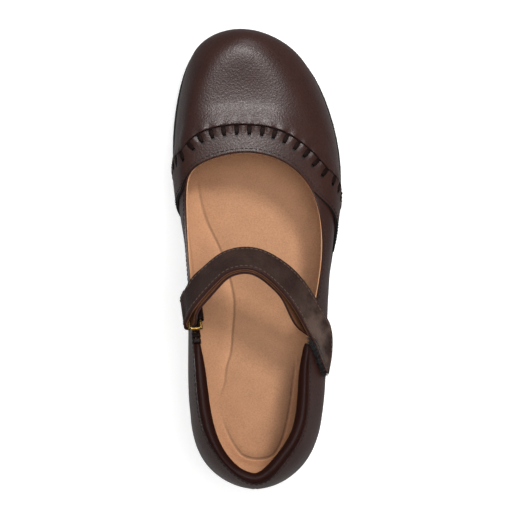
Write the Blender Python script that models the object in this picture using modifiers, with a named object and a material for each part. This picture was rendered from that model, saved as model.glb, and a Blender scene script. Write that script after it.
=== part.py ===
"""Mary jane shoe for the right foot: one hollow leather upper on a one-piece rubber sole, with
a raised band round the throat, a padded collar, and a strap that turns back through a ring.

Metres. +Y points to the toe, +X to the outer side of the foot, +Z up. The origin lies on the
floor, at the middle of the finished shoe's outline.
"""
import math
from collections import namedtuple
from functools import lru_cache

import bmesh
import bpy
import numpy as np
from mathutils import Vector
from mathutils.bvhtree import BVHTree

# Driving sizes of the shoe
SHOE_LENGTH = 0.2645
BALL_WIDTH = 0.0968
CLEARANCE = 0.0003

# Outsole
HEEL_HEIGHT = 0.033
FOREFOOT_HEIGHT = 0.016
TOE_SPRING = 0.007
SOLE_LIP = 0.0012
BOTTOM_INSET = 0.0026
SIDE_GROOVE = 0.0009
ARCH_DEPTH = 0.0125
HEEL_BLOCK = 0.072
ARCH_LENGTH = 0.070
BREAST_LEAN = 0.004
LUG_GROOVE_DEPTH = 0.0022
LUG_GROOVE_WIDTH = 0.0026
LUG_PITCH = 0.0125
HEEL_GROOVES = 3
FOREFOOT_GROOVES = 7

# Upper
UPPER_WALL = 0.0020
COUNTER_RISE = 0.051
VAMP_RISE = 0.038
ANKLE_DIP = 0.003

# Raised band round the throat
BAND_THICKNESS = 0.0012

# Footbed
INSOLE_THICKNESS = 0.0042
CUP_RISE = 0.0075
CUP_REACH = 0.0125
ARCH_RISE = 0.0070

# Padded collar
COLLAR_WIDTH = 0.0074
COLLAR_RISE = 0.0042
COLLAR_DEPTH = 0.0120

# Strap, ring and fastener
STRAP_WIDTH = 0.0175
STRAP_THICKNESS = 0.0020
STRAP_ARCH = 0.0100
RING_WIRE = 0.0020
RING_DEPTH = 0.0065
RING_CORNER = 0.0018
RING_SIDE_ROOM = 0.0013
TAB_WIDTH = 0.0100
TAB_LEATHER = 0.0010
TAB_LENGTH = 0.0130

# How finely the curved pieces are divided
ROUND_STEPS = 96
WALL_STEPS = 11
ARCH_STEPS = 12
CORNER_STEPS = 4
TAB_STEPS = 16
SOLE_COLUMNS = 3
STRAP_COLUMNS = 3

Outline = namedtuple("Outline", "along inner outer rise")
Topline = namedtuple("Topline", "along inner outer counter vamp dip")
Seat = namedtuple("Seat", "along heel spring")
SideStep = namedtuple("SideStep", "height inset groove")
BandRow = namedtuple("BandRow", "seam_around seam_up edge_around edge_up")
PadPoint = namedtuple("PadPoint", "across up down")
StrapRow = namedtuple("StrapRow", "toe_along toe_across heel_along heel_across rise arch width layer")

# Outlines seen from above. along is a share of the shoe's length from the heel, inner and
# outer are shares of the ball width from the shoe's axis, rise is a share of the leather's
# height at that row. The first and last rows are the heel's and the toe's single points.
SOLE_OUTLINE = [
    Outline(0.008, 0.012, -0.012, 0),
    Outline(0.051, 0.270, 0.241, 0),
    Outline(0.152, 0.379, 0.368, 0),
    Outline(0.315, 0.368, 0.389, 0),
    Outline(0.507, 0.404, 0.450, 0),
    Outline(0.699, 0.501, 0.499, 0),
    Outline(0.875, 0.461, 0.373, 0),
    Outline(0.967, 0.331, 0.159, 0),
    Outline(0.999, 0.101, -0.101, 0),
]
WIDEST_OUTLINE = [
    Outline(0.000, 0.012, -0.012, 0.330),
    Outline(0.045, 0.283, 0.255, 0.330),
    Outline(0.151, 0.395, 0.382, 0.330),
    Outline(0.315, 0.407, 0.412, 0.330),
    Outline(0.507, 0.424, 0.443, 0.340),
    Outline(0.699, 0.493, 0.489, 0.330),
    Outline(0.874, 0.447, 0.362, 0.290),
    Outline(0.968, 0.337, 0.168, 0.270),
    Outline(1.000, 0.101, -0.101, 0.270),
]
SHOULDER_OUTLINE = [
    Outline(0.001, 0.012, -0.012, 0.550),
    Outline(0.048, 0.275, 0.246, 0.550),
    Outline(0.152, 0.391, 0.375, 0.560),
    Outline(0.313, 0.404, 0.397, 0.600),
    Outline(0.502, 0.423, 0.438, 0.600),
    Outline(0.688, 0.478, 0.471, 0.630),
    Outline(0.853, 0.430, 0.345, 0.620),
    Outline(0.949, 0.312, 0.140, 0.580),
    Outline(0.985, 0.098, -0.098, 0.550),
]
CROWN_OUTLINE = [
    Outline(0.003, 0.011, -0.011, 0.785),
    Outline(0.056, 0.258, 0.226, 0.785),
    Outline(0.156, 0.372, 0.339, 0.790),
    Outline(0.313, 0.390, 0.357, 0.810),
    Outline(0.495, 0.421, 0.420, 0.820),
    Outline(0.667, 0.455, 0.432, 0.850),
    Outline(0.783, 0.425, 0.315, 0.880),
    Outline(0.870, 0.300, 0.130, 0.830),
    Outline(0.901, 0.085, -0.085, 0.785),
]
TOPLINE = [
    Topline(0.014, 0.009, -0.009, 1.000, 0.00, 0.0),
    Topline(0.070, 0.225, 0.186, 0.960, 0.00, 0.2),
    Topline(0.161, 0.341, 0.296, 0.855, 0.00, 0.6),
    Topline(0.313, 0.378, 0.315, 0.720, 0.00, 1.0),
    Topline(0.493, 0.418, 0.390, 0.350, 0.43, 0.4),
    Topline(0.624, 0.432, 0.351, 0.000, 0.87, 0.0),
    Topline(0.686, 0.396, 0.241, 0.000, 0.93, 0.0),
    Topline(0.717, 0.256, 0.107, 0.000, 0.98, 0.0),
    Topline(0.729, 0.066, -0.066, 0.000, 1.00, 0.0),
]

# Footbed: places of its columns from the outer to the inner side, as shares of its width, then
# where the cup fades towards the toe and where the arch is highest, as shares of the length
FOOTBED_COLUMNS = [0, 0.05, 0.13, 0.27, 0.5, 0.73, 0.87, 0.95, 1]
CUP_FADE_FROM = 0.40
CUP_FADE_TO = 0.75
CUP_LEAST = 0.22
CUP_CURVE = 1.8
ARCH_PEAK = 0.42
ARCH_SPREAD = 0.13
ARCH_CURVE = 1.3

# Top of the sole from heel to toe: shares of the heel's lift and of the toe spring
SOLE_TOP = [
    Seat(0.00, 1.00, 0.00),
    Seat(0.15, 0.98, 0.00),
    Seat(0.31, 0.82, 0.00),
    Seat(0.50, 0.44, 0.00),
    Seat(0.69, 0.07, 0.00),
    Seat(0.78, 0.00, 0.04),
    Seat(0.86, 0.00, 0.22),
    Seat(0.95, 0.00, 0.66),
    Seat(1.00, 0.00, 1.00),
]
# Where the toe spring starts, how the arch falls away from the heel's breast, and how many
# pitches the first groove of the forefoot lies in front of the arch
SPRING_START = 0.778
BREAST_CURVE = 1.2
FIRST_GROOVE = 0.6

# Side of the sole from the floor up: share of its height, of the bottom inset and of the groove
SOLE_SIDE = [
    SideStep(0.00, 1.00, 0),
    SideStep(0.10, 0.35, 0),
    SideStep(0.30, 0.10, 0),
    SideStep(0.52, 0.00, 0),
    SideStep(0.55, 0.00, 1),
    SideStep(0.63, 0.00, 1),
    SideStep(0.66, 0.00, 0),
    SideStep(1.00, 0.00, 0),
]

# Band: its seam with the vamp and its free edge, around the shoe and up the wall
BAND_ROWS = [
    BandRow(0.283, 0.02, 0.254, 0.02),
    BandRow(0.292, 0.30, 0.266, 0.34),
    BandRow(0.308, 0.535, 0.281, 0.66),
    BandRow(0.326, 0.69, 0.303, 0.88),
    BandRow(0.353, 0.76, 0.332, 0.99),
    BandRow(0.390, 0.793, 0.380, 0.99),
    BandRow(0.443, 0.811, 0.440, 0.99),
    BandRow(0.500, 0.820, 0.500, 0.99),
    BandRow(0.555, 0.806, 0.560, 0.99),
    BandRow(0.600, 0.790, 0.610, 0.99),
    BandRow(0.642, 0.740, 0.652, 0.98),
    BandRow(0.670, 0.56, 0.688, 0.84),
    BandRow(0.686, 0.30, 0.709, 0.48),
    BandRow(0.694, 0.02, 0.724, 0.02),
]
BAND_STEPS = 55
BAND_COLUMNS = 4

# Padded collar's section: shares of its width inwards, its rise and its depth down the wall
COLLAR_SECTION = [
    PadPoint(0.00, 0.07, 0),
    PadPoint(-0.03, 0.45, 0),
    PadPoint(0.12, 0.82, 0),
    PadPoint(0.40, 1.00, 0),
    PadPoint(0.72, 0.88, 0),
    PadPoint(0.95, 0.40, 0),
    PadPoint(1.00, 0, 0.12),
    PadPoint(0.94, 0, 0.50),
    PadPoint(0.70, 0, 0.88),
    PadPoint(0.42, 0, 1.00),
]
# Its back against the leather: shares of its depth, from below to the topline
COLLAR_BACK = [0.96, 0.72, 0.48, 0.24]
# Its reach round the shoe from the heel, and how it thins out at both ends
COLLAR_REACH = 0.1875
COLLAR_END_CURVE = 8
COLLAR_END_SHARE = 0.12
# Points of the section that rise less than this stay on the leather where the collar thins out,
# and the wall's rise above this share of its height gives the collar's direction
COLLAR_FOOT = 0.1
TOPLINE_FROM = 0.96

# Strap's outer layer: its toe-side and heel-side edges seen from above. rise is the toe-side
# edge's height over the sole's top as a share of the counter's rise, arch a share of the
# strap's arch, width a share of its width, layer how many thicknesses the inner layer lies under
STRAP_ROWS = [
    StrapRow(0.431, -0.421, 0.381, -0.395, 0.830, 0.00, 1.00, 2.15),
    StrapRow(0.453, -0.387, 0.413, -0.332, 0.815, 0.30, 1.00, 1.85),
    StrapRow(0.479, -0.315, 0.448, -0.244, 0.805, 0.55, 1.00, 1.65),
    StrapRow(0.507, -0.220, 0.468, -0.179, 0.799, 0.78, 1.00, 1.55),
    StrapRow(0.521, -0.107, 0.477, -0.101, 0.792, 0.95, 1.00, 1.50),
    StrapRow(0.519, 0.000, 0.476, -0.030, 0.781, 1.00, 1.00, 1.50),
    StrapRow(0.502, 0.107, 0.463, 0.042, 0.758, 0.95, 1.00, 1.55),
    StrapRow(0.477, 0.202, 0.443, 0.107, 0.734, 0.75, 1.00, 1.70),
    StrapRow(0.433, 0.304, 0.407, 0.193, 0.682, 0.40, 1.00, 2.20),
    StrapRow(0.380, 0.391, 0.358, 0.274, 0.579, 0.10, 1.00, 0.00),
    StrapRow(0.339, 0.435, 0.313, 0.336, 0.437, 0.00, 1.00, 0.00),
    StrapRow(0.308, 0.439, 0.292, 0.360, 0.417, 0.00, 0.74, 0.00),
    StrapRow(0.278, 0.432, 0.267, 0.386, 0.420, 0.00, 0.46, 0.00),
    StrapRow(0.256, 0.421, 0.252, 0.404, 0.443, 0.00, 0.17, 0.00),
]
# Inner layer's last rows, tucked inside the outer quarter
STRAP_ROOT_ROWS = [
    StrapRow(0.401, 0.309, 0.358, 0.226, 0.573, 0.10, 1.00, 0.00),
    StrapRow(0.391, 0.342, 0.332, 0.310, 0.457, 0.00, 1.00, 0.00),
]
STRAP_STEPS = 3
# Fold round the ring: the angle at which both layers leave it, their straight run there, and how
# far the outer layer drifts along the bar towards the toe
FOLD_STEPS = 7
FOLD_LEAVES = 30
FOLD_RUN = 0.0020
FOLD_DRIFT = 0.0026
FOLD_DRIFT_CURVE = 6

# Ring's outer bar: middle of it seen from above, its height over the sole's top as a share of
# the counter's rise, and its lean in degrees
RING_RISE = 0.806
RING_ALONG = 0.384
RING_ACROSS = -0.411
RING_TURN = 8
RING_SLOPE = 28
RING_TILT = 6

# Hook tape and loop tape under the strap's end, as shares of the strap's length and width
TAPE_FROM = 0.905
TAPE_TO = 0.972
TAPE_LOW = 0.07
TAPE_HIGH = 0.62
TAPE_STEPS = 8
TAPE_SEAT = 0.00045


def clear_scene():
    for item in list(bpy.data.objects):
        bpy.data.objects.remove(item, do_unlink=True)


def new_collection(name):
    collection = bpy.data.collections.new(name)
    bpy.context.scene.collection.children.link(collection)
    return collection


def new_material(name, colour, roughness, metallic=0.0):
    material = bpy.data.materials.new(name)
    material.use_nodes = True
    shader = material.node_tree.nodes["Principled BSDF"]
    shader.inputs["Base Color"].default_value = (*colour, 1)
    shader.inputs["Roughness"].default_value = roughness
    shader.inputs["Metallic"].default_value = metallic
    return material


def add_object(name, bm, collection, material=None):
    """Turn a bmesh into a smooth-shaded object of the collection."""
    bmesh.ops.recalc_face_normals(bm, faces=bm.faces)
    mesh = bpy.data.meshes.new(name)
    bm.to_mesh(mesh)
    bm.free()
    mesh.shade_smooth()
    item = bpy.data.objects.new(name, mesh)
    collection.objects.link(item)
    if material:
        mesh.materials.append(material)
    return item


# Splines

def closed_spline(points):
    """Smooth closed curve through evenly spaced points, as a function of u from 0 to 1."""
    points = np.asarray(points, float)
    count = len(points)
    matrix = 4 * np.eye(count)
    for i in range(count):
        matrix[i, i - 1] += 1
        matrix[i, (i + 1) % count] += 1
    bends = np.linalg.solve(matrix, 6 * (np.roll(points, -1, 0) - 2 * points + np.roll(points, 1, 0)))

    def at(u):
        place = (u % 1) * count
        i = int(place) % count
        j = (i + 1) % count
        t = place - int(place)
        s = 1 - t
        return (s * points[i] + t * points[j]
                + (s ** 3 - s) * bends[i] / 6 + (t ** 3 - t) * bends[j] / 6)
    return at


def open_spline(knots, values):
    """Smooth open curve through values at rising knots, straight at both ends."""
    knots = np.asarray(knots, float)
    values = np.asarray(values, float)
    gaps = np.diff(knots)
    count = len(knots)
    matrix = np.eye(count)
    bends_right = np.zeros_like(values)
    for i in range(1, count - 1):
        matrix[i, i - 1:i + 2] = gaps[i - 1], 2 * (gaps[i - 1] + gaps[i]), gaps[i]
        bends_right[i] = 6 * ((values[i + 1] - values[i]) / gaps[i]
                              - (values[i] - values[i - 1]) / gaps[i - 1])
    bends = np.linalg.solve(matrix, bends_right)

    def at(place):
        i = min(max(int(np.searchsorted(knots, place)) - 1, 0), count - 2)
        t = (place - knots[i]) / gaps[i]
        s = 1 - t
        return (s * values[i] + t * values[i + 1]
                + gaps[i] ** 2 * ((s ** 3 - s) * bends[i] + (t ** 3 - t) * bends[i + 1]) / 6)
    return at


# Forms of the last

def plan(along, across):
    return BALL_WIDTH * across, SHOE_LENGTH * (along - 0.5)


SEAT_CURVE = open_spline([row.along for row in SOLE_TOP], [[row.heel, row.spring] for row in SOLE_TOP])


def seat_height(y):
    """Height of the sole's top at a place along the shoe."""
    heel, spring = SEAT_CURVE(min(max(y / SHOE_LENGTH + 0.5, 0), 1))
    return FOREFOOT_HEIGHT + heel * (HEEL_HEIGHT - FOREFOOT_HEIGHT) + spring * TOE_SPRING


def floor_height(y):
    """Underside of the sole: flat on the floor, then up with the toe spring."""
    share = max(y / SHOE_LENGTH + 0.5 - SPRING_START, 0) / (1 - SPRING_START)
    return TOE_SPRING * share ** 2


def leather_rise(row, side):
    dip = ANKLE_DIP * row.dip if side > 0 else 0
    return row.counter * COUNTER_RISE + row.vamp * VAMP_RISE - dip


def outline_loop(rows):
    """Closed loop through an outline's rows: heel, outer side, toe, inner side."""
    last = len(rows) - 1
    order = [(i, 1) for i in range(last + 1)] + [(i, -1) for i in range(last - 1, 0, -1)]
    points = []
    for i, side in order:
        row = rows[i]
        x, y = plan(row.along, row.outer if side > 0 else -row.inner)
        if isinstance(row, Topline):
            rise = leather_rise(row, side)
        else:
            rise = row.rise * leather_rise(TOPLINE[i], side)
        points.append((x, y, seat_height(y) + rise))
    return closed_spline(points)


SOLE_EDGE = outline_loop(SOLE_OUTLINE)


def sole_inset(u, inset):
    """Point of the sole's top edge, moved in by inset, level with the sole's top."""
    step = 1e-3
    x, y, _ = SOLE_EDGE(u)
    ahead = SOLE_EDGE(u + step) - SOLE_EDGE(u - step)
    length = math.hypot(ahead[0], ahead[1])
    x -= inset * ahead[1] / length
    y += inset * ahead[0] / length
    return np.array((x, y, seat_height(y)))


def feather_point(u):
    """Foot of the leather on the sole, inside the sole's lip."""
    return sole_inset(u, SOLE_LIP) + (0, 0, CLEARANCE)


UPPER_LOOPS = [feather_point] + [outline_loop(rows) for rows in
                                 (WIDEST_OUTLINE, SHOULDER_OUTLINE, CROWN_OUTLINE, TOPLINE)]


@lru_cache(maxsize=None)
def wall_curve(u):
    """The leather's line from the sole to the topline at one place around the shoe."""
    points = np.array([loop(u) for loop in UPPER_LOOPS])
    steps = np.linalg.norm(np.diff(points, axis=0), axis=1)
    knots = np.concatenate(([0], np.cumsum(steps))) / steps.sum()
    return open_spline(knots, points), steps.sum()


def upper_point(u, v):
    return wall_curve(u)[0](v)


def upper_normal(u, v):
    step = 2e-3
    around = upper_point(u + step, v) - upper_point(u - step, v)
    up = upper_point(u, min(v + step, 1)) - upper_point(u, max(v - step, 0))
    normal = np.cross(around, up)
    return normal / np.linalg.norm(normal)


# Mesh building

def add_rows(bm, rows, around=False, closed=False):
    """Skin a grid of points; around closes each row, closed joins the last row to the first."""
    verts = [[bm.verts.new(point) for point in row] for row in rows]
    columns = len(rows[0])
    for i in range(len(rows) if closed else len(rows) - 1):
        lower, upper = verts[i], verts[(i + 1) % len(rows)]
        for j in range(columns if around else columns - 1):
            k = (j + 1) % columns
            bm.faces.new((lower[j], lower[k], upper[k], upper[j]))
    return verts


def even_shares(columns):
    return [k / columns for k in range(columns + 1)]


def add_cap(bm, loop, shares, height):
    """Close a shoe-shaped loop with rows of faces from its outer to its inner side."""
    count = len(loop)
    columns = len(shares) - 1
    rows = [[loop[0]]]
    for i in range(1, count // 2):
        outer, inner = loop[i], loop[count - i]
        row = [outer]
        for share in shares[1:-1]:
            place = outer.co.lerp(inner.co, share)
            row.append(bm.verts.new((place.x, place.y, height(place.x, place.y, share))))
        rows.append(row + [inner])
    rows.append([loop[count // 2]])
    for lower, upper in zip(rows, rows[1:]):
        for k in range(columns):
            if len(lower) == 1:
                bm.faces.new((lower[0], upper[k], upper[k + 1]))
            elif len(upper) == 1:
                bm.faces.new((lower[k + 1], lower[k], upper[0]))
            else:
                bm.faces.new((lower[k], upper[k], upper[k + 1], lower[k + 1]))


def add_tube(bm, sections):
    """Skin closed sections one after another and cap both ends."""
    verts = add_rows(bm, sections, around=True)
    bm.faces.new(verts[0])
    bm.faces.new(verts[-1])


def add_box(bm, low, high):
    verts = bmesh.ops.create_cube(bm, size=1)["verts"]
    size = Vector(high) - Vector(low)
    bmesh.ops.scale(bm, vec=size, verts=verts)
    bmesh.ops.translate(bm, vec=(Vector(high) + Vector(low)) / 2, verts=verts)


def cut(item, cutter):
    modifier = item.modifiers.new("cut " + cutter.name, "BOOLEAN")
    modifier.operation = "DIFFERENCE"
    modifier.solver = "EXACT"
    modifier.object = cutter


def hide_cutter(item):
    item.hide_render = True
    item.display_type = "WIRE"
    return item


# Outsole

def arch_cutter(cutters):
    """Hollow between the heel block and the ball, an arch as wide as the shoe."""
    heel_end = -SHOE_LENGTH / 2 + HEEL_BLOCK
    side = [(heel_end - BREAST_LEAN / 4, -ARCH_DEPTH), (heel_end, 0)]
    for share in even_shares(ARCH_STEPS):
        drop = math.cos(share * math.pi / 2) ** BREAST_CURVE
        side.append((heel_end + BREAST_LEAN + share * (ARCH_LENGTH - BREAST_LEAN), ARCH_DEPTH * drop))
    side.append((heel_end + ARCH_LENGTH, -ARCH_DEPTH))
    bm = bmesh.new()
    sections = [[(x, y, z) for y, z in side] for x in (-BALL_WIDTH, BALL_WIDTH)]
    add_tube(bm, sections)
    return hide_cutter(add_object("arch_cutter", bm, cutters))


def groove_cutter(cutters):
    """Straight grooves across the heel and the forefoot that leave the lugs between them."""
    heel_end = -SHOE_LENGTH / 2 + HEEL_BLOCK
    ball = heel_end + ARCH_LENGTH
    starts = [heel_end - LUG_PITCH * (k + 1) for k in range(HEEL_GROOVES)]
    starts += [ball + LUG_PITCH * (k + FIRST_GROOVE) for k in range(FOREFOOT_GROOVES)]
    bm = bmesh.new()
    for start in starts:
        top = floor_height(start + LUG_GROOVE_WIDTH) + LUG_GROOVE_DEPTH
        add_box(bm, (-BALL_WIDTH, start, -LUG_GROOVE_DEPTH),
                (BALL_WIDTH, start + LUG_GROOVE_WIDTH, top))
    return hide_cutter(add_object("groove_cutter", bm, cutters))


def make_outsole(parts, cutters):
    bm = bmesh.new()
    rows = []
    for step in SOLE_SIDE:
        row = []
        for k in range(ROUND_STEPS):
            inset = step.inset * BOTTOM_INSET + step.groove * SIDE_GROOVE
            x, y, top = sole_inset(k / ROUND_STEPS, inset)
            bottom = floor_height(y)
            row.append((x, y, bottom + step.height * (top - bottom)))
        rows.append(row)
    verts = add_rows(bm, rows, around=True)
    add_cap(bm, verts[0], even_shares(SOLE_COLUMNS), lambda x, y, share: floor_height(y))
    add_cap(bm, verts[-1], even_shares(SOLE_COLUMNS), lambda x, y, share: seat_height(y))
    rubber = new_material("black_rubber", (0.012, 0.011, 0.011), 0.55)
    outsole = add_object("outsole", bm, parts, rubber)
    cut(outsole, arch_cutter(cutters))
    cut(outsole, groove_cutter(cutters))
    return outsole


# Footbed

def footbed_height(y, share, distance):
    """Footbed surface: a cup towards the edge, deepest at the heel, and the raised inner arch."""
    along = y / SHOE_LENGTH + 0.5
    heelward = (CUP_FADE_TO - along) / (CUP_FADE_TO - CUP_FADE_FROM)
    cup = CUP_RISE * min(max(heelward, CUP_LEAST), 1) * max(1 - distance / CUP_REACH, 0) ** CUP_CURVE
    peak = math.exp(-((along - ARCH_PEAK) / ARCH_SPREAD) ** 2)
    arch = ARCH_RISE * peak * max(2 * share - 1, 0) ** ARCH_CURVE
    return seat_height(y) + CLEARANCE + INSOLE_THICKNESS + cup + arch


def edge_distance(ring, place):
    """Distance from a place to the nearest side of a closed ring of points, seen from above."""
    sides = np.roll(ring, -1, 0) - ring
    shares = np.clip(((place - ring) * sides).sum(1) / (sides ** 2).sum(1), 0, 1)
    return np.linalg.norm(ring + shares[:, None] * sides - place, axis=1).min()


def inside_wall(u, height):
    """Place at a height, two clearances in from the inner face of the leather as it is built."""
    line = []
    for j in range(WALL_STEPS // 2):
        v = j / WALL_STEPS
        line.append(upper_point(u, v) - (UPPER_WALL + 2 * CLEARANCE) * upper_normal(u, v))
    line = np.array(line)
    return [np.interp(height, line[:, 2], line[:, i]) for i in (0, 1)] + [height]


def make_insole(parts):
    """Footbed, whose cupped edge follows the inside of the leather."""
    inset = SOLE_LIP + UPPER_WALL + 2 * CLEARANCE
    bottom = []
    top = []
    for k in range(ROUND_STEPS):
        u = k / ROUND_STEPS
        x, y, height = sole_inset(u, inset)
        bottom.append((x, y, height + CLEARANCE))
        share = 0.5 if k % (ROUND_STEPS // 2) == 0 else round(u)
        top.append(inside_wall(u, footbed_height(y, share, 0)))
    ring = np.array(top)[:, :2]
    bm = bmesh.new()
    verts = add_rows(bm, [bottom, top], around=True)
    add_cap(bm, verts[0], even_shares(1), lambda x, y, share: seat_height(y) + CLEARANCE)
    add_cap(bm, verts[1], FOOTBED_COLUMNS,
            lambda x, y, share: footbed_height(y, share, edge_distance(ring, (x, y))))
    suede = new_material("tan_footbed", (0.50, 0.30, 0.16), 0.85)
    return add_object("insole", bm, parts, suede)


# Upper and its overlays

def make_upper(parts):
    bm = bmesh.new()
    rows = []
    for j in range(WALL_STEPS + 1):
        v = j / WALL_STEPS
        rows.append([upper_point(k / ROUND_STEPS, v) for k in range(ROUND_STEPS)])
    add_rows(bm, rows, around=True)
    leather = new_material("brown_leather", (0.045, 0.020, 0.014), 0.42)
    upper = add_object("upper", bm, parts, leather)
    wall = upper.modifiers.new("wall", "SOLIDIFY")
    wall.thickness = UPPER_WALL
    wall.offset = -1
    wall.use_even_offset = False
    return upper


def band_place(curve, along, across):
    seam_around, seam_up, edge_around, edge_up = curve(along)
    around = seam_around + across * (edge_around - seam_around)
    up = seam_up + across * (edge_up - seam_up)
    return around, min(max(up, 0), 1)


def make_band(parts):
    """Raised leather band, a strip of the upper's own surface lifted off it."""
    knots = [k / (len(BAND_ROWS) - 1) for k in range(len(BAND_ROWS))]
    curve = open_spline(knots, BAND_ROWS)
    low, high = CLEARANCE, CLEARANCE + BAND_THICKNESS
    bm = bmesh.new()
    sections = []
    for step in range(BAND_STEPS + 1):
        section = []
        for lift, order in ((low, range(BAND_COLUMNS + 1)), (high, range(BAND_COLUMNS, -1, -1))):
            for k in order:
                u, v = band_place(curve, step / BAND_STEPS, k / BAND_COLUMNS)
                section.append(upper_point(u, v) + lift * upper_normal(u, v))
        sections.append(section)
    add_tube(bm, sections)
    leather = new_material("band_leather", (0.042, 0.019, 0.014), 0.45)
    return add_object("vamp_band", bm, parts, leather)


def make_collar(parts):
    """Padded roll on the topline round the heel, which laps down inside the leather."""
    bm = bmesh.new()
    sections = []
    reach = round(COLLAR_REACH * ROUND_STEPS)
    back = (UPPER_WALL + CLEARANCE) / COLLAR_WIDTH
    behind = [PadPoint(back, 0, down) for down in COLLAR_BACK]
    for column in range(-reach, reach + 1):
        u = column / ROUND_STEPS
        fade = math.sqrt(max(1 - abs(column / reach) ** COLLAR_END_CURVE, COLLAR_END_SHARE))
        up = upper_point(u, 1) - upper_point(u, TOPLINE_FROM)
        up /= np.linalg.norm(up)
        section = []
        for point in COLLAR_SECTION + behind + [PadPoint(back, CLEARANCE / COLLAR_RISE, 0)]:
            v = 1 - point.down * COLLAR_DEPTH * fade / wall_curve(u)[1]
            inwards = point.across * COLLAR_WIDTH
            if point.across > back:
                inwards = back * COLLAR_WIDTH + (inwards - back * COLLAR_WIDTH) * fade
            rise = point.up * COLLAR_RISE * (fade if point.up > COLLAR_FOOT else 1)
            section.append(upper_point(u, v) - inwards * upper_normal(u, v) + rise * up)
        sections.append(section)
    add_tube(bm, sections)
    leather = new_material("collar_leather", (0.032, 0.010, 0.009), 0.40)
    return add_object("collar", bm, parts, leather)


# Ring, strap and fastener

def ring_frame():
    """Middle of the ring's outer bar, the bar's direction to the heel, the way in, and up."""
    x, y = plan(RING_ALONG, RING_ACROSS)
    middle = np.array((x, y, seat_height(y) + RING_RISE * COUNTER_RISE))
    turn, slope, tilt = (math.radians(a) for a in (RING_TURN, RING_SLOPE, RING_TILT))
    bar = np.array((math.sin(turn) * math.cos(slope), -math.cos(turn) * math.cos(slope),
                    math.sin(slope)))
    inwards = np.array((math.cos(tilt), 0, -math.sin(tilt)))
    inwards -= bar * inwards.dot(bar)
    inwards /= np.linalg.norm(inwards)
    up = np.cross(inwards, -bar)
    return middle, bar, inwards, up


def make_ring(parts):
    middle, bar, inwards, _ = ring_frame()
    half = STRAP_WIDTH / 2 + RING_SIDE_ROOM + RING_WIRE / 2
    centre = middle + inwards * RING_DEPTH / 2
    points = []
    for quarter in range(4):
        for share in even_shares(CORNER_STEPS - 1):
            angle = math.pi / 2 * (quarter + share)
            side = 1 if quarter in (0, 3) else -1
            depth = 1 if quarter in (0, 1) else -1
            along = side * (half - RING_CORNER) + RING_CORNER * math.cos(angle)
            across = depth * (RING_DEPTH / 2 - RING_CORNER) + RING_CORNER * math.sin(angle)
            points.append(centre + along * bar + across * inwards)
    curve = bpy.data.curves.new("ring", "CURVE")
    curve.dimensions = "3D"
    curve.bevel_depth = RING_WIRE / 2
    curve.bevel_resolution = 2
    spline = curve.splines.new("POLY")
    spline.points.add(len(points) - 1)
    for place, point in zip(spline.points, points):
        place.co = (*point, 1)
    spline.use_cyclic_u = True
    curve.materials.append(new_material("brass", (0.75, 0.52, 0.22), 0.28, 1.0))
    ring = bpy.data.objects.new("ring", curve)
    parts.objects.link(ring)
    return ring


def make_ring_tab(parts):
    """Leather loop round the ring's inner bar, with its tail down inside the quarter."""
    middle, bar, inwards, up = ring_frame()
    centre = middle + inwards * RING_DEPTH
    hole = RING_WIRE / 2 + CLEARANCE
    outer = hole + TAB_LEATHER
    down = np.array((0, 0, -1.0))
    inner_ring = []
    outer_ring = []
    for k in range(TAB_STEPS):
        angle = 2 * math.pi * k / TAB_STEPS
        ray = math.cos(angle) * inwards + math.sin(angle) * up
        inner_ring.append(centre + hole * ray)
        tail = TAB_LENGTH if abs(k - 0.75 * TAB_STEPS) < 2 else 0
        outer_ring.append(centre + outer * ray + tail * down)
    bm = bmesh.new()
    half = TAB_WIDTH / 2
    loops = []
    for ring, side in ((outer_ring, -half), (outer_ring, half), (inner_ring, half), (inner_ring, -half)):
        loops.append([point + side * bar for point in ring])
    add_rows(bm, loops, around=True, closed=True)
    leather = new_material("tab_leather", (0.030, 0.014, 0.011), 0.5)
    return add_object("ring_tab", bm, parts, leather)


def strap_edges(row):
    """Both edges of the strap at a row, the heel-side one as much higher as its width asks."""
    toe_x, toe_y = plan(row.toe_along, row.toe_across)
    height = seat_height(toe_y) + row.rise * COUNTER_RISE + row.arch * STRAP_ARCH
    toe = np.array((toe_x, toe_y, height))
    heel_x, heel_y = plan(row.heel_along, row.heel_across)
    level = math.hypot(heel_x - toe[0], heel_y - toe[1])
    climb = math.sqrt(max((row.width * STRAP_WIDTH) ** 2 - level ** 2, 0))
    return toe, np.array((heel_x, heel_y, toe[2] + climb))


def layer_below(rows):
    """Edges of the strap's inner layer, straight under the outer one's rows."""
    edges = [strap_edges(row) for row in rows]
    under = []
    for i, row in enumerate(rows):
        if not row.layer:
            continue
        ahead = sum(edges[i + 1]) - sum(edges[max(i - 1, 0)])
        face = np.cross(ahead, edges[i][0] - edges[i][1])
        face /= np.linalg.norm(face)
        drop = row.layer * STRAP_THICKNESS * face
        under.append((edges[i][0] - drop, edges[i][1] - drop))
    return under


def fold_edges():
    """The strap's turn round the ring's outer bar, from the inner layer to the outer one."""
    middle, bar, inwards, up = ring_frame()
    radius = RING_WIRE / 2 + CLEARANCE + STRAP_THICKNESS / 2
    half = bar * STRAP_WIDTH / 2
    places = []
    for k in range(FOLD_STEPS):
        angle = math.radians(-FOLD_LEAVES - 180 * k / (FOLD_STEPS - 1))
        places.append(middle + radius * (math.cos(angle) * inwards + math.sin(angle) * up))
    leaving = math.radians(FOLD_LEAVES)
    run = FOLD_RUN * (math.sin(leaving) * inwards + math.cos(leaving) * up)
    places = [places[0] + run] + places + [places[-1] + run]
    edges = []
    for place, share in zip(places, even_shares(len(places) - 1)):
        place = place - FOLD_DRIFT * share ** FOLD_DRIFT_CURVE * bar
        edges.append((place - half, place + half))
    return edges


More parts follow.
